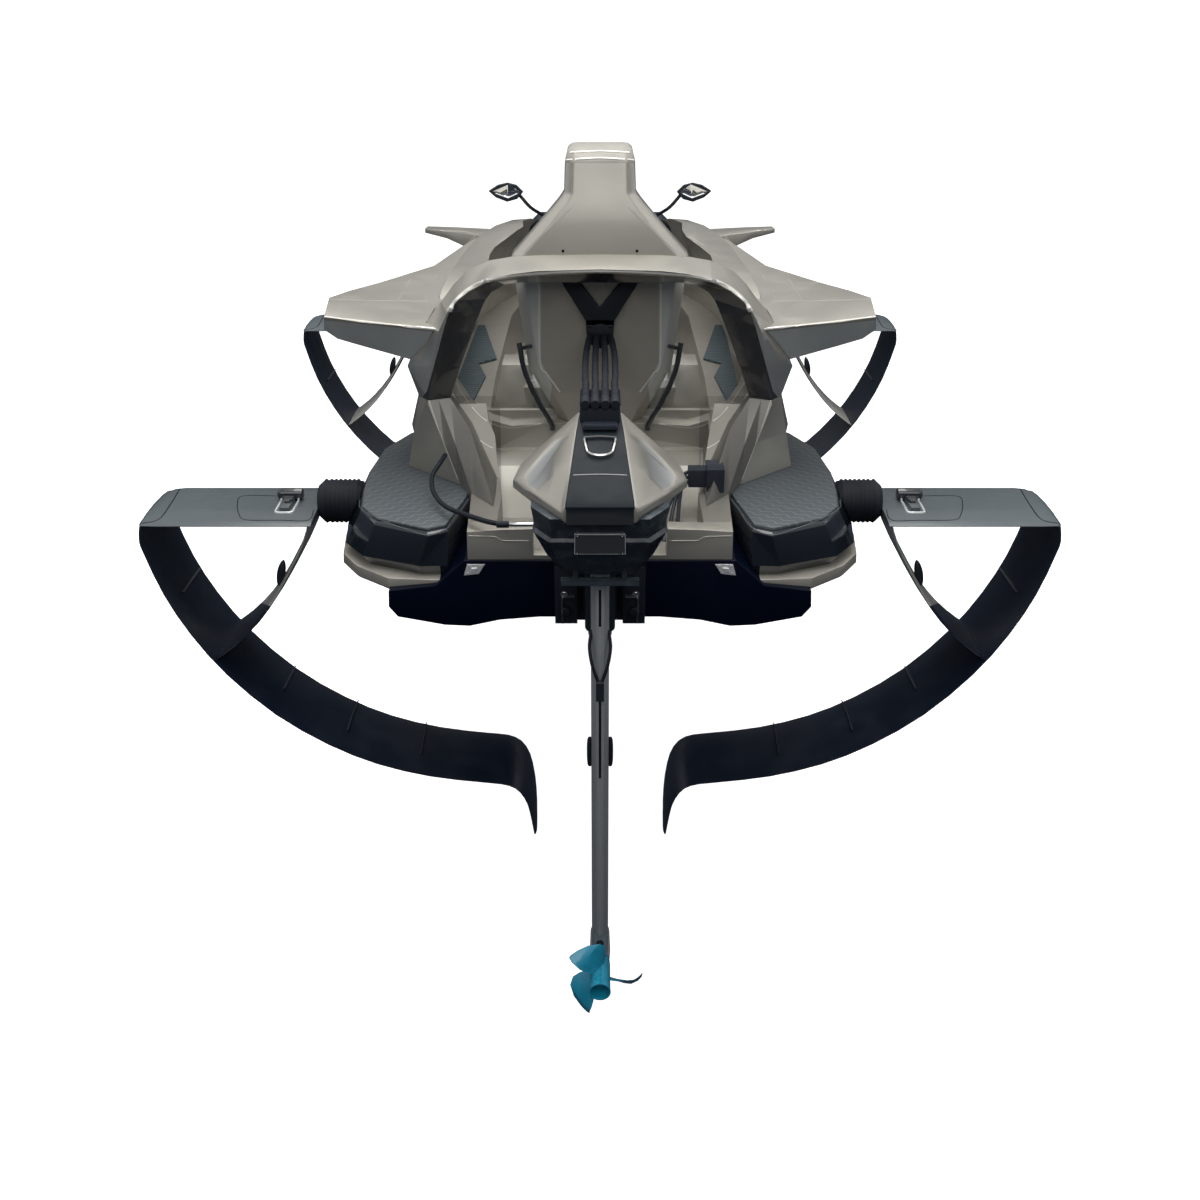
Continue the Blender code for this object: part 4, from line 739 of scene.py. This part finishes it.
# Softened nodes: name, material, edge radius, body, slot
SKINS = [
    ("lower_hull", HULL, 0.006, "boat", "dark_hull"),
    ("deck", TAUPE, 0.006, "boat", "taupe_paint"),
    ("rear_arch", TAUPE, 0.006, "boat", "taupe_paint"),
    ("seat_tower", TAUPE, 0.005, "boat", "taupe_paint"),
    ("front_carrier", GLOSS, 0.005, "boat", "slate_pod"),
    ("seat_base", TAUPE, 0.006, "boat", "taupe_paint"),
    ("motor_cowl", TAUPE, 0.006, "outboard", "taupe_paint"),
    ("motor_panel", PANEL, 0.004, "outboard", "slate_panel"),
    ("motor_body", BODY, 0.004, "outboard", "black_plastic"),
    ("leg", ALLOY, 0.003, "outboard", "grey_alloy"),
    ("gearcase", ALLOY, 0.0, "outboard", "grey_alloy"),
    ("propeller", TEAL, 0.0012, "screw", "teal_propeller"),
    ("clamp_bracket", BLACK, 0.003, "boat", "black_plastic"),
    ("swivel_bracket", BLACK, 0.002, "tilt", "black_plastic"),
    ("dash", BLACK, 0.004, "boat", "black_plastic"),
    ("steering_column", BLACK, 0.0, "boat", "black_plastic"),
    ("steering_wheel", BLACK, 0.0, "helm", "black_plastic"),
    ("cable_fork", BLACK, 0.003, "boat", "black_plastic"),
    ("charge_socket", BLACK, 0.0015, "boat", "black_plastic"),
    ("steering_cable", RUBBER, 0.0, "boat", "black_rubber"),
]
for side, sign in SIDES:
    SKINS += [
        ("rear_wing_" + side, TAUPE, 0.005, "boat", "taupe_paint"),
        ("front_winglet_" + side, TAUPE, 0.004, "boat", "taupe_paint"),
        ("pillar_" + side, TAUPE, 0.005, "boat", "taupe_paint"),
        ("pod_flange_" + side, TAUPE, 0.004, "boat", "taupe_paint"),
        ("pod_body_" + side, GLOSS, 0.006, "boat", "slate_pod"),
        ("step_pad_" + side, TREAD, 0.002, "boat", "slate_pod"),
        ("mirror_" + side, BLACK, 0.0015, "boat", "black_plastic"),
        ("footwell_mat_" + side, MAT, 0.002, "boat", "tread_mat"),
        ("grab_bar_" + side, GLOSS, 0.0, "boat", "black_plastic"),
    ]
    for end, shift in ENDS:
        tag = end + "_" + side
        SKINS += [
            ("foil_arm_" + tag, ARM, 0.003, "boat", "foil_composite"),
            ("foil_blade_" + tag, FOIL, 0.0, "boat", "foil_composite"),
            ("foil_strut_" + tag, STRUT, 0.0, "boat", "foil_composite"),
            ("bellows_" + tag, RUBBER, 0.0, "boat", "black_rubber"),
        ]

# Finished pieces by the name of the CAD node that each stands for
SKIN = {}


def make_floor():
    bm = bmesh.new()
    bmesh.ops.create_grid(bm, x_segments=8, y_segments=8, size=400.0)
    mesh = bpy.data.meshes.new("floor")
    bm.to_mesh(mesh)
    bm.free()
    mesh.materials.append(paint_floor())
    floor = bpy.data.objects.new("floor", mesh)
    floor.location.z = FLOOR_Z
    SEA.collection.objects.link(floor)
    floor.visible_diffuse = False
    floor.visible_glossy = False


def repaint_by_outline():
    """Faces within outlines repainted: mostly lighter and darker copies of the same paint as painted light and shade,
    a few in another part's own colour, some sunk into the surface.
    """
    # arch legs near black: painted shadow; their outer flanks greyer: painted shade
    for name in ("rear_arch", "rear_wing_l", "rear_wing_r"):
        region(name, ARCH_LEG, TAUPE_PAINTED_SHADOW)
        region(name, ARCH_FLANK, TAUPE_PAINTED_SHADE)
    # wing aft faces paler: painted reflection
    for name in ("rear_wing_l", "rear_wing_r"):
        region(name, WING_AFT, PALE_TRIM_AND_PAINTED_LIGHT)
    # cheek recess sunk and darker: painted shade in the recess
    region("motor_cowl", CHEEK_RECESS, TAUPE_PAINTED_SHADE, 0.005, -0.003, TAUPE)
    # tower crown darker and rougher: painted shade
    region("seat_tower", TOWER_CROWN, MATTE_PAINTED_SHADE)
    # deck beside the pillars darker: painted shade
    region("deck", PILLAR_INNER, SHADE)
    # seat shell flanks paler: painted light
    for name in ("seat_tower", "seat_base"):
        region(name, SHELL_FLANK, PALE_TRIM_AND_PAINTED_LIGHT)
    for side, sign in SIDES:
        region("foil_strut_rear_" + side, STRUT_FOOT, FOIL)
        region("mirror_" + side, MIRROR_GLASS, MIRROR, 0.0015, -0.001, GLOSS)
        # pillar inner faces darker: painted shade
        region("pillar_" + side, PILLAR_INNER, TAUPE_PAINTED_DEEP_SHADE)


# Outlines and lines in pixels of the photograph, port side; the starboard side is their mirror image
ARCH_LEG = [(600, 273.5), (517, 277), (489, 282), (469, 291), (455, 304), (449, 313), (447, 318), (427, 391),
            (420, 400), (460, 400), (505, 310), (600, 290)]
ARCH_FLANK = [(448, 314), (441, 325), (420, 360), (398, 356), (414, 398), (421, 398), (427, 391)]
WING_AFT = [(321, 320), (380, 326), (439, 332.5), (447, 316), (430, 366), (402, 359), (322, 333)]
CHEEK_RECESS = [(568, 434), (556, 440), (540, 456), (523, 477), (527, 486), (537, 491), (551, 478), (556, 450)]
SHELL_FLANK = [(514, 270), (541, 270), (541, 362), (552, 385), (548, 420), (520, 340)]
ARM_RECESS = [(278, 496), (243, 496), (237.5, 504), (239, 514), (246, 519.8), (280, 520.2), (308, 520.2), (313.5, 510)]
STRUT_FOOT = [(205, 668), (238, 612), (262, 603), (285, 612), (240, 672)]
PILLAR_INNER = [(428, 396), (500, 396), (502, 522), (470, 522), (461, 486), (444, 444)]
TOWER_CROWN = [(562, 140), (638, 140), (638, 163), (562, 163)]
MIRROR_GLASS = [(490.5, 192), (509, 184), (521.5, 192.3), (508, 198.5)]
ARCH_LIP = [(449.5, 311), (455, 301.5), (469, 289), (489, 280), (517, 275), (560, 272), (600, 271)]
WING_EDGE = [(324.5, 316.5), (380, 323), (436, 329.5)]
WING_CREASES = [[(330, 299), (380, 300.5), (428, 301)], [(437, 275), (425, 299)], [(411, 279), (398, 300)]]
WINGLET_NOTCH = [[(427, 230), (466, 231.5), (476, 235), (468, 243)]]
TOWER_CREASES = [[(572, 168), (571, 208), (513, 262)]]
TOWER_SCREWS = [(563, 251)]
TOWER_STEPS = [[(566, 160), (600, 158), (634, 160)], [(570, 152.5), (600, 151), (630, 152.5)]]
SHELL_EDGES = [[(539, 284), (539.8, 360), (547, 374), (560, 392)], [(516, 286), (522, 339)]]
PAD_EDGE = [(417, 427), (389, 434.5), (374, 451), (361.5, 482), (359.5, 500), (361.5, 509), (383, 521),
            (406, 529), (427, 534.7), (448, 527.6), (461, 510), (470, 498)]
WELL_BAND_TOP = [(456, 383), (472, 407), (487, 421), (509, 428), (541, 424)]
WELL_BAND_LOW = [(478, 439), (493, 448), (515, 449), (535, 449)]
TRANSOM_LIP = [(462, 536), (495, 537), (502, 541), (535, 541)]
PILLAR_RIDGE = [(428, 403), (444, 444), (460, 485)]
TIE_PLATE = [(467, 564), (485, 564), (479, 573.5), (464, 575)]
ARM_GROOVE = [(180, 488.6), (170, 505), (158.5, 519.5), (141, 523.4)]
ARM_MARK = (320.5, 496.5)
BLADE_FENCES = [[(202.5, 564), (192, 578), (181.5, 593)], [(295, 666), (289, 678), (283, 690)],
                [(357.5, 702), (352, 716), (347, 732)], [(426, 724.5), (423.5, 740), (421, 755)]]
HANDLE_U = [(585, 441), (586.5, 448), (589.5, 455), (600, 457.5), (610.5, 455), (613.5, 448), (615, 441)]
HANDLE_BAR = [(583.5, 439), (600, 438), (616.5, 439)]
PANEL_RIDGES = [[(569, 475.5), (600, 474.5), (631, 475.5)]]
NAME_PLATE = [(574.5, 533.5), (625.5, 533.5), (625.5, 550.5), (574.5, 550.5)]
CLAMP_BOLTS = [(564, 625), (564, 594)]
CLAMP_SLOTS = [[(581.5, 588), (581.5, 612)]]
CLAMP_RODS = [[(563, 597), (563, 622)], [(563, 596), (575, 596)]]
LEG_LINE = [(600, 590), (600, 700), (600, 800), (600, 930)]


def arch_details():
    # cream beads on the arch lip, wing edge and winglet notch: painted highlights; greyer beads in the wing creases:
    # painted shade
    strip("arch_lip", ["rear_arch"], [ARCH_LIP], 0.014, 0.005, CREAM_AND_PAINTED_HIGHLIGHT)
    strip("wing_edge", ["rear_wing_l", "rear_arch"], [WING_EDGE], 0.007, 0.002, CREAM_AND_PAINTED_HIGHLIGHT)
    strip("wing_creases", ["rear_wing_l", "rear_arch"], WING_CREASES, 0.0028, 0.0006, TAUPE_PAINTED_SHADE)
    strip("winglet_notch", ["front_winglet_l"], WINGLET_NOTCH, 0.003, 0.0008, CREAM_AND_PAINTED_HIGHLIGHT, curved=False)
    strip("pillar_ridge", ["pillar_l"], [PILLAR_RIDGE], 0.004, 0.0012, TAUPE)


def tower_details():
    # greyer beads in the tower creases: painted shade; cream beads on the crown steps and shell edges: painted
    # highlights
    strip("tower_creases", ["seat_tower"], TOWER_CREASES, 0.003, 0.0007, TAUPE_PAINTED_SHADE, curved=False)
    strip("tower_steps", ["seat_tower"], TOWER_STEPS, 0.005, 0.0018, CREAM_AND_PAINTED_HIGHLIGHT, twin=False)
    strip("shell_edges", ["seat_tower", "seat_base"], SHELL_EDGES, 0.0045, 0.002, CREAM_AND_PAINTED_HIGHLIGHT)
    screws("tower_screws", ["seat_tower"], TOWER_SCREWS, 0.004, SEAM)


def deck_details():
    strip("pad_trim", ["step_pad_l", "pod_body_l"], [PAD_EDGE], 0.0035, 0.0012, ARM)
    strip("well_lines", ["deck"], [WELL_BAND_TOP, WELL_BAND_LOW], 0.004, 0.0012, TAUPE)
    strip("transom_lip", ["deck"], [TRANSOM_LIP], 0.005, 0.0012, TAUPE, curved=False)
    trees = tree_of("lower_hull")
    hits = [first_hit(trees, CAM_AT, ray(x, y)) for x, y in TIE_PLATE]
    corners = [h[0] for h in hits if h]
    if len(corners) == len(TIE_PLATE):
        normal = hits[0][1]
        for turn, tag in ((lambda v: v, "l"), (flip, "r")):
            ring = [turn(c) for c in corners]
            centre = sum(ring, Vector()) / len(ring)
            facing = turn(normal)
            bm = bmesh.new()
            slab(bm, ring, facing, 0.003)
            for corner in ring:
                screw(bm, centre.lerp(corner, 0.62) + facing * 0.003, facing, 0.0022, 0.0015)
            slab(bm, [centre.lerp(c, 0.35) + facing * 0.003 for c in ring], facing, 0.003)
            piece("tie_plate_" + tag, bm, PALE_TRIM_AND_PAINTED_LIGHT)


# Latch on an arm: its bright frame in X and Y, its grip, and the round bump on the strut
LATCH_X = (-0.892, -0.844)
LATCH_Y = (-1.122, -0.984)
LATCH_CORNER = 0.010
GRIP_AT = (-0.867, -1.0265, 0.092)
GRIP_HALF = 0.036
GRIP_R = 0.0165
BUMP_TOP = (-0.882, -1.128, -0.066)
BUMP_LOW = (-0.904, -1.128, -0.146)
BUMP_R = 0.012
# Triangle beside the latch that marks the locked position, in X and Y from its middle
MARK = [(-0.007, 0.012), (-0.007, -0.012), (0.007, 0.0)]


def four_times(bm, build):
    """Repeat a rear port detail on the other three foils."""
    for end, shift in ENDS:
        build(bm, lambda v, shift=shift: Vector(v) + Vector((0, shift, 0)), lambda n: Vector(n))
        build(bm, lambda v, shift=shift: flip(Vector(v)) + Vector((0, shift, 0)), lambda n: flip(Vector(n)))


def foil_lines(name, names, lines, width, height, material):
    """Beads along lines of the photograph, on all four foils."""
    runs = [seen(names, line) for line in lines]

    def build(bm, place, turn):
        for run in runs:
            if len(run) > 1:
                bead(bm, [(place(p), turn(n)) for p, n in run], width, height)

    bm = bmesh.new()
    four_times(bm, build)
    return piece(name, bm, material, "boat")


def foil_details():
    """Caps, latches, marks, bumps and fences of the foils."""
    foil_lines("arm_groove", ["foil_arm_rear_l", "foil_blade_rear_l"], [ARM_GROOVE], 0.0045, 0.0006, SEAM)
    foil_lines("arm_recess", ["foil_arm_rear_l"], [ARM_RECESS], 0.003, 0.0007, SEAM)
    foil_lines("blade_fences", ["foil_blade_rear_l"], BLADE_FENCES, 0.0045, 0.009, FOIL)
    arm = tree_of("foil_arm_rear_l")
    spot = first_hit(arm, CAM_AT, ray(*ARM_MARK))[0]
    ring = []
    for cx, cy, start in ((1, 1, 0), (0, 1, 90), (0, 0, 180), (1, 0, 270)):
        for k in range(5):
            t = math.radians(start + 22.5 * k)
            x = LATCH_X[cx] + LATCH_CORNER * (math.cos(t) - (1 if cx else -1))
            y = LATCH_Y[cy] + LATCH_CORNER * (math.sin(t) - (1 if cy else -1))
            place, up = first_hit(arm, Vector((x, y, 0.5)), Vector((0, 0, -1)))[:2]
            ring.append((place, up))
    corners, ring = ring + ring[:1], []
    for (a, up), (b, _) in zip(corners, corners[1:]):
        parts = max(1, round((b - a).length / 0.012))
        for k in range(parts):
            mid = a.lerp(b, k / parts)
            ring.append(first_hit(arm, Vector((mid.x, mid.y, 0.5)), Vector((0, 0, -1)))[:2])
    ring.append(ring[0])

    def frame_ring(bm, place, turn):
        bead(bm, [(place(p), turn(n)) for p, n in ring], 0.0065, 0.0045)

    def lever(bm, place, turn):
        grip = [place(Vector(GRIP_AT) + Vector((GRIP_HALF * u, 0, 0))) for u in (-1, -0.92, -0.75, -0.3, 0.3, 0.75, 0.92, 1)]
        hose(bm, grip, GRIP_R, 14, lambda t: 1.0 - 0.42 * abs(2 * t - 1) ** 5)
        foot = [place(Vector((x, y, 0.083))) for x, y in
                ((-0.853, -0.992), (-0.882, -0.992), (-0.882, -1.064), (-0.875, -1.078), (-0.860, -1.078), (-0.853, -1.064))]
        slab(bm, foot, (0, 0, 1), 0.009, 0.003)

    def mark(bm, place, turn):
        slab(bm, [place(spot + Vector((x, y, 0))) for x, y in MARK], (0, 0, 1), 0.0008, 0.0002)

    def bump(bm, place, turn):
        spine = [place(Vector(BUMP_TOP).lerp(Vector(BUMP_LOW), k / 10)) for k in range(11)]
        hose(bm, spine, BUMP_R, 12, lambda t: 0.15 + 0.85 * math.sin(math.pi * t) ** 0.6)

    for name, build, material in (("latch_frames", frame_ring, PALE_TRIM_AND_PAINTED_LIGHT), ("latch_levers", lever, GLOSS),
                                  ("lock_marks", mark, CREAM_AND_PAINTED_HIGHLIGHT), ("strut_bumps", bump, BLACK)):
        bm = bmesh.new()
        four_times(bm, build)
        piece(name, bm, material, "boat")


# Lead pair on the leg: its route in X, in Y aft of the leg's face, and in Z
LEG_AFT_Y = -1.676
LEG_LEAD = [(0.020, 0.045, -0.022), (0.0255, 0.022, -0.055), (0.019, -0.002, -0.092), (0.006, -0.005, -0.134)]
CLIP_Z = (-0.137, -0.192)
BULGE_Z = (-0.335, -0.425)
LEG_NUT = (600, 943)
# Polished part of the steering rod along X, on the tilt axis
ROD_X = (-0.226, -0.118)
ROD_R = 0.0056
BLOCK = ((-0.040, -1.560), (0.040, -1.560), (0.040, -1.590), (-0.040, -1.590))


def motor_details():
    strip("handle_ring", ["motor_panel"], [HANDLE_U], 0.010, 0.010, CHROME, "outboard", twin=False)
    strip("handle_bar", ["motor_panel"], [HANDLE_BAR], 0.008, 0.008, GLOSS, "outboard", twin=False)
    strip("panel_ridge", ["motor_panel"], PANEL_RIDGES, 0.004, 0.0012, GLOSS, "outboard", twin=False)
    hits = [first_hit(tree_of("motor_body"), CAM_AT, ray(x, y)) for x, y in NAME_PLATE]
    if all(hits):
        corners = [h[0] for h in hits]
        level = min(c.y for c in corners)
        flat = [Vector((c.x, level - 0.001, c.z)) for c in corners]
        bm = bmesh.new()
        slab(bm, flat, (0, -1, 0), 0.0030, 0.0008)
        piece("plate_border", bm, PALE_TRIM_AND_PAINTED_LIGHT, "outboard")
        centre = sum(flat, Vector()) / len(flat)
        bm = bmesh.new()
        slab(bm, [centre + Vector(((c.x - centre.x) * 0.975, -0.0025, (c.z - centre.z) * 0.93)) for c in flat],
             (0, -1, 0), 0.0014, 0.0004)
        piece("blank_plate", bm, PANEL, "outboard")
        bm = bmesh.new()
        for corner in flat:
            screw(bm, centre.lerp(corner, 0.88) + Vector((0, -0.0038, 0)), (0, -1, 0), 0.0028, 0.0016)
        piece("plate_screws", bm, CHROME, "outboard")
    strip("clamp_slots", ["clamp_bracket"], CLAMP_SLOTS, 0.010, 0.0015, SEAM, curved=False)
    strip("clamp_rods", ["clamp_bracket"], CLAMP_RODS, 0.008, 0.010, GLOSS, curved=False)
    screws("clamp_bolts", ["clamp_bracket"], CLAMP_BOLTS, 0.006, CHROME, kind=hex_bolt)
    strip("leg_groove", ["leg"], [LEG_LINE], 0.006, 0.0008, SEAM, "outboard", twin=False)
    leads, clip = bmesh.new(), bmesh.new()
    for side, sign in SIDES:
        route = [(sign * x, LEG_AFT_Y + y, z) for x, y, z in LEG_LEAD]
        hose(leads, smooth_line(route, 6), 0.0042, 8)
        middle = [(sign * 0.026, LEG_AFT_Y + 0.060, z) for z in
                  (BULGE_Z[0], BULGE_Z[0] - 0.02, BULGE_Z[1] + 0.02, BULGE_Z[1])]
        hose(leads, smooth_line(middle, 4), 0.008, 10, lambda t: math.sin(math.pi * t) ** 0.5 * 0.9 + 0.1)
    slab(clip, [(-0.010, LEG_AFT_Y, CLIP_Z[0]), (0.010, LEG_AFT_Y, CLIP_Z[0]), (0.010, LEG_AFT_Y, CLIP_Z[1]),
                (-0.010, LEG_AFT_Y, CLIP_Z[1])], (0, -1, 0), 0.010, 0.003)
    nut = first_hit(tree_of("leg", "gearcase"), CAM_AT, ray(*LEG_NUT))
    if nut:
        hex_bolt(clip, nut[0], (0, -1, 0), 0.007, 0.008)
    piece("leg_leads", leads, RUBBER, "outboard")
    piece("leg_clip", clip, BLACK, "outboard")
    rod = bmesh.new()
    lathe(rod, [(ROD_R * 0.8, 0.0), (ROD_R, 0.002), (ROD_R, ROD_X[1] - ROD_X[0])],
          Vector((ROD_X[0], TILT_AT.y, TILT_AT.z)), (1, 0, 0), 16)
    piece("steering_rod", rod, CHROME)
    block = bmesh.new()
    level = max(first_hit(tree_of("motor_panel"), Vector((0, y, 2.0)), Vector((0, 0, -1)))[0].z for x, y in BLOCK[1:3])
    slab(block, [(x, y, level - 0.004) for x, y in BLOCK], (0, 0, 1), 0.010, 0.004)
    piece("connector_block", block, BLACK, "outboard")


# Cable routes, as the frame's own cables run
CABLE_X = (-0.034, -0.011, 0.012, 0.035)
CABLE_R = 0.0085
PLUG_AT = (-1.4505, 0.5175)


def cable_route(x):
    return ((x * 0.7, -0.894, 0.505), (x * 0.9, -0.940, 0.506), (x * 1.1, -1.060, 0.492), (x * 1.1, -1.230, 0.490),
            (x, -1.380, 0.514), (x, PLUG_AT[0] - 0.010, PLUG_AT[1]))


def make_cables():
    cables, boots = bmesh.new(), bmesh.new()
    for x in CABLE_X:
        hose(cables, smooth_line(cable_route(x), 8), CABLE_R, 12)
        lathe(boots, [(0.0095, 0.0), (0.0105, 0.003)] + [(0.0122 if k % 2 else 0.0098, 0.006 + 0.0042 * k)
              for k in range(16)] + [(0.0122, 0.073), (0.0122, 0.106), (0.0100, 0.110)],
              Vector((x, PLUG_AT[0], PLUG_AT[1])), (0, -1, 0), 14)
    lathe(cables, [(0.030, 0.0), (0.034, 0.004), (0.034, 0.010), (0.028, 0.014)], Vector((0, -0.889, 0.505)),
          (0, -1, 0), 20)
    obj = piece("power_cable_set", cables, RUBBER)
    obj.parent = None
    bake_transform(obj)
    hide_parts("power_cables")
    slab(boots, [(-0.046, -1.476, 0.474), (0.046, -1.476, 0.474), (0.046, -1.556, 0.474), (-0.046, -1.556, 0.474)],
         (0, 0, 1), 0.034, 0.004)
    plugs = piece("cable_boots", boots, RUBBER, "outboard")
    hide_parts("cable_plugs")


def cushion(node, material, shrink=0.006, cap=0.012, voxel=0.007, pressure=4.0):
    """Crowned cushion swollen by a cloth simulation from the CAD solid that it stands in for."""
    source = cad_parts[node]
    bm = bmesh.new()
    bm.from_mesh(source.data)
    bmesh.ops.remove_doubles(bm, verts=bm.verts, dist=0.00005)
    mesh = bpy.data.meshes.new(node + "_pad")
    bm.to_mesh(mesh)
    bm.free()
    obj = bpy.data.objects.new(node + "_pad", mesh)
    SEA.collection.objects.link(obj)
    remesh = obj.modifiers.new("voxels", "REMESH")
    remesh.mode = "VOXEL"
    remesh.voxel_size = voxel
    apply_modifiers(obj)
    mesh = obj.data
    rest = [v.co - v.normal * shrink for v in mesh.vertices]
    for vertex, place in zip(mesh.vertices, rest):
        vertex.co = place
    cloth = obj.modifiers.new("cloth", "CLOTH")
    cloth.settings.use_pressure = True
    cloth.settings.uniform_pressure_force = pressure
    cloth.settings.effector_weights.gravity = 0.0
    cloth.settings.quality = 4
    cloth.point_cache.frame_start = 1
    cloth.point_cache.frame_end = 20
    for step in range(1, 21):
        SEA.frame_set(step)
    graph = bpy.context.evaluated_depsgraph_get()
    moved = [v.co.copy() for v in obj.evaluated_get(graph).data.vertices]
    obj.modifiers.clear()
    SEA.frame_set(1)
    for vertex, before, after in zip(mesh.vertices, rest, moved):
        way = after - before
        vertex.co = before + way * min(1.0, cap / max(way.length, 1e-9))
    relax = obj.modifiers.new("relax", "SMOOTH")
    relax.factor = 0.5
    relax.iterations = 4
    finer = obj.modifiers.new("finer", "SUBSURF")
    finer.levels = finer.render_levels = 1
    apply_modifiers(obj)
    obj.data.materials.clear()
    obj.data.materials.append(material)
    obj.data.shade_smooth()
    link(obj, "boat")
    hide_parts(node)
    SKIN[node] = obj
    return obj


def groove(obj, along, lines, depth=0.006, reach=0.010):
    """Press sewn channels into a pad: along is the axis that a channel keeps to, lines its places on the other."""
    axis = {"x": 1, "z": 0, "y": 0}[along]
    mesh = obj.data
    normals = [v.normal.copy() for v in mesh.vertices]
    for vertex, normal in zip(mesh.vertices, normals):
        near = min(abs(vertex.co[axis] - line) for line in lines)
        vertex.co = vertex.co - normal * (depth * math.exp(-(near / reach) ** 2))


def make_seats():
    """Front and rear seats with channels, piping and stitches."""
    front = cushion("seat_cushion_front", LEATHER)
    back = cushion("seat_back_front", LEATHER)
    rear = cushion("seat_cushion_rear", LEATHER, shrink=0.004, cap=0.008)
    head = cushion("headrest_pad", LEATHER, shrink=0.005, cap=0.010)
    for pad in (front, back, rear, head):
        groove(pad, "y", (-0.095, 0.095))
    stitches, piping = bmesh.new(), bmesh.new()
    for name, start, end, way in SEAT_SEAMS:
        trees = tree_of(name)
        for x in (-0.095, 0.095):
            line = straight_line([(x, *start), (x, *end)], 30)
            rows = [first_hit(trees, Vector(p) - Vector(way) * 0.4, Vector(way)) for p in line]
            rows = [(r[0], r[1]) for r in rows if r]
            if len(rows) > 1:
                bead(piping, rows, 0.005, 0.003)
            for side in (-0.007, 0.007):
                shifted = [first_hit(trees, Vector(p) + Vector((side, 0, 0)) - Vector(way) * 0.4, Vector(way))
                           for p in line]
                shifted = [(r[0], r[1]) for r in shifted if r]
                for a, b in zip(shifted[::2], shifted[1::2]):
                    bead(stitches, [a, b], 0.0016, 0.0010)
    piece("seat_piping", piping, GLOSS)
    piece("seat_stitches", stitches, CREAM_AND_PAINTED_HIGHLIGHT)


# Pad, start and end of its seams in Y and Z, and the way that they are laid on it
SEAT_SEAMS = (
    ("seat_cushion_front", (-0.03, 0.2), (0.28, 0.2), (0, 0, -1)),
    ("seat_back_front", (0.0, 0.24), (0.0, 0.62), (0, -1, 0)),
    ("seat_cushion_rear", (-0.64, 0.38), (-0.30, 0.38), (0, 0, -1)),
    ("headrest_pad", (-0.60, 0.46), (-0.60, 0.88), (0, -1, 0)),
)


make_camera()
for row in LIGHTS:
    make_light(*row)
make_world()
make_floor()
for node, material, width, body, slot in SKINS:
    SKIN[node] = soften(node, material, width, body)
repaint_by_outline()
arch_details()
tower_details()
deck_details()
foil_details()
motor_details()
make_cables()
make_seats()

SEA.view_settings.view_transform = "Standard"
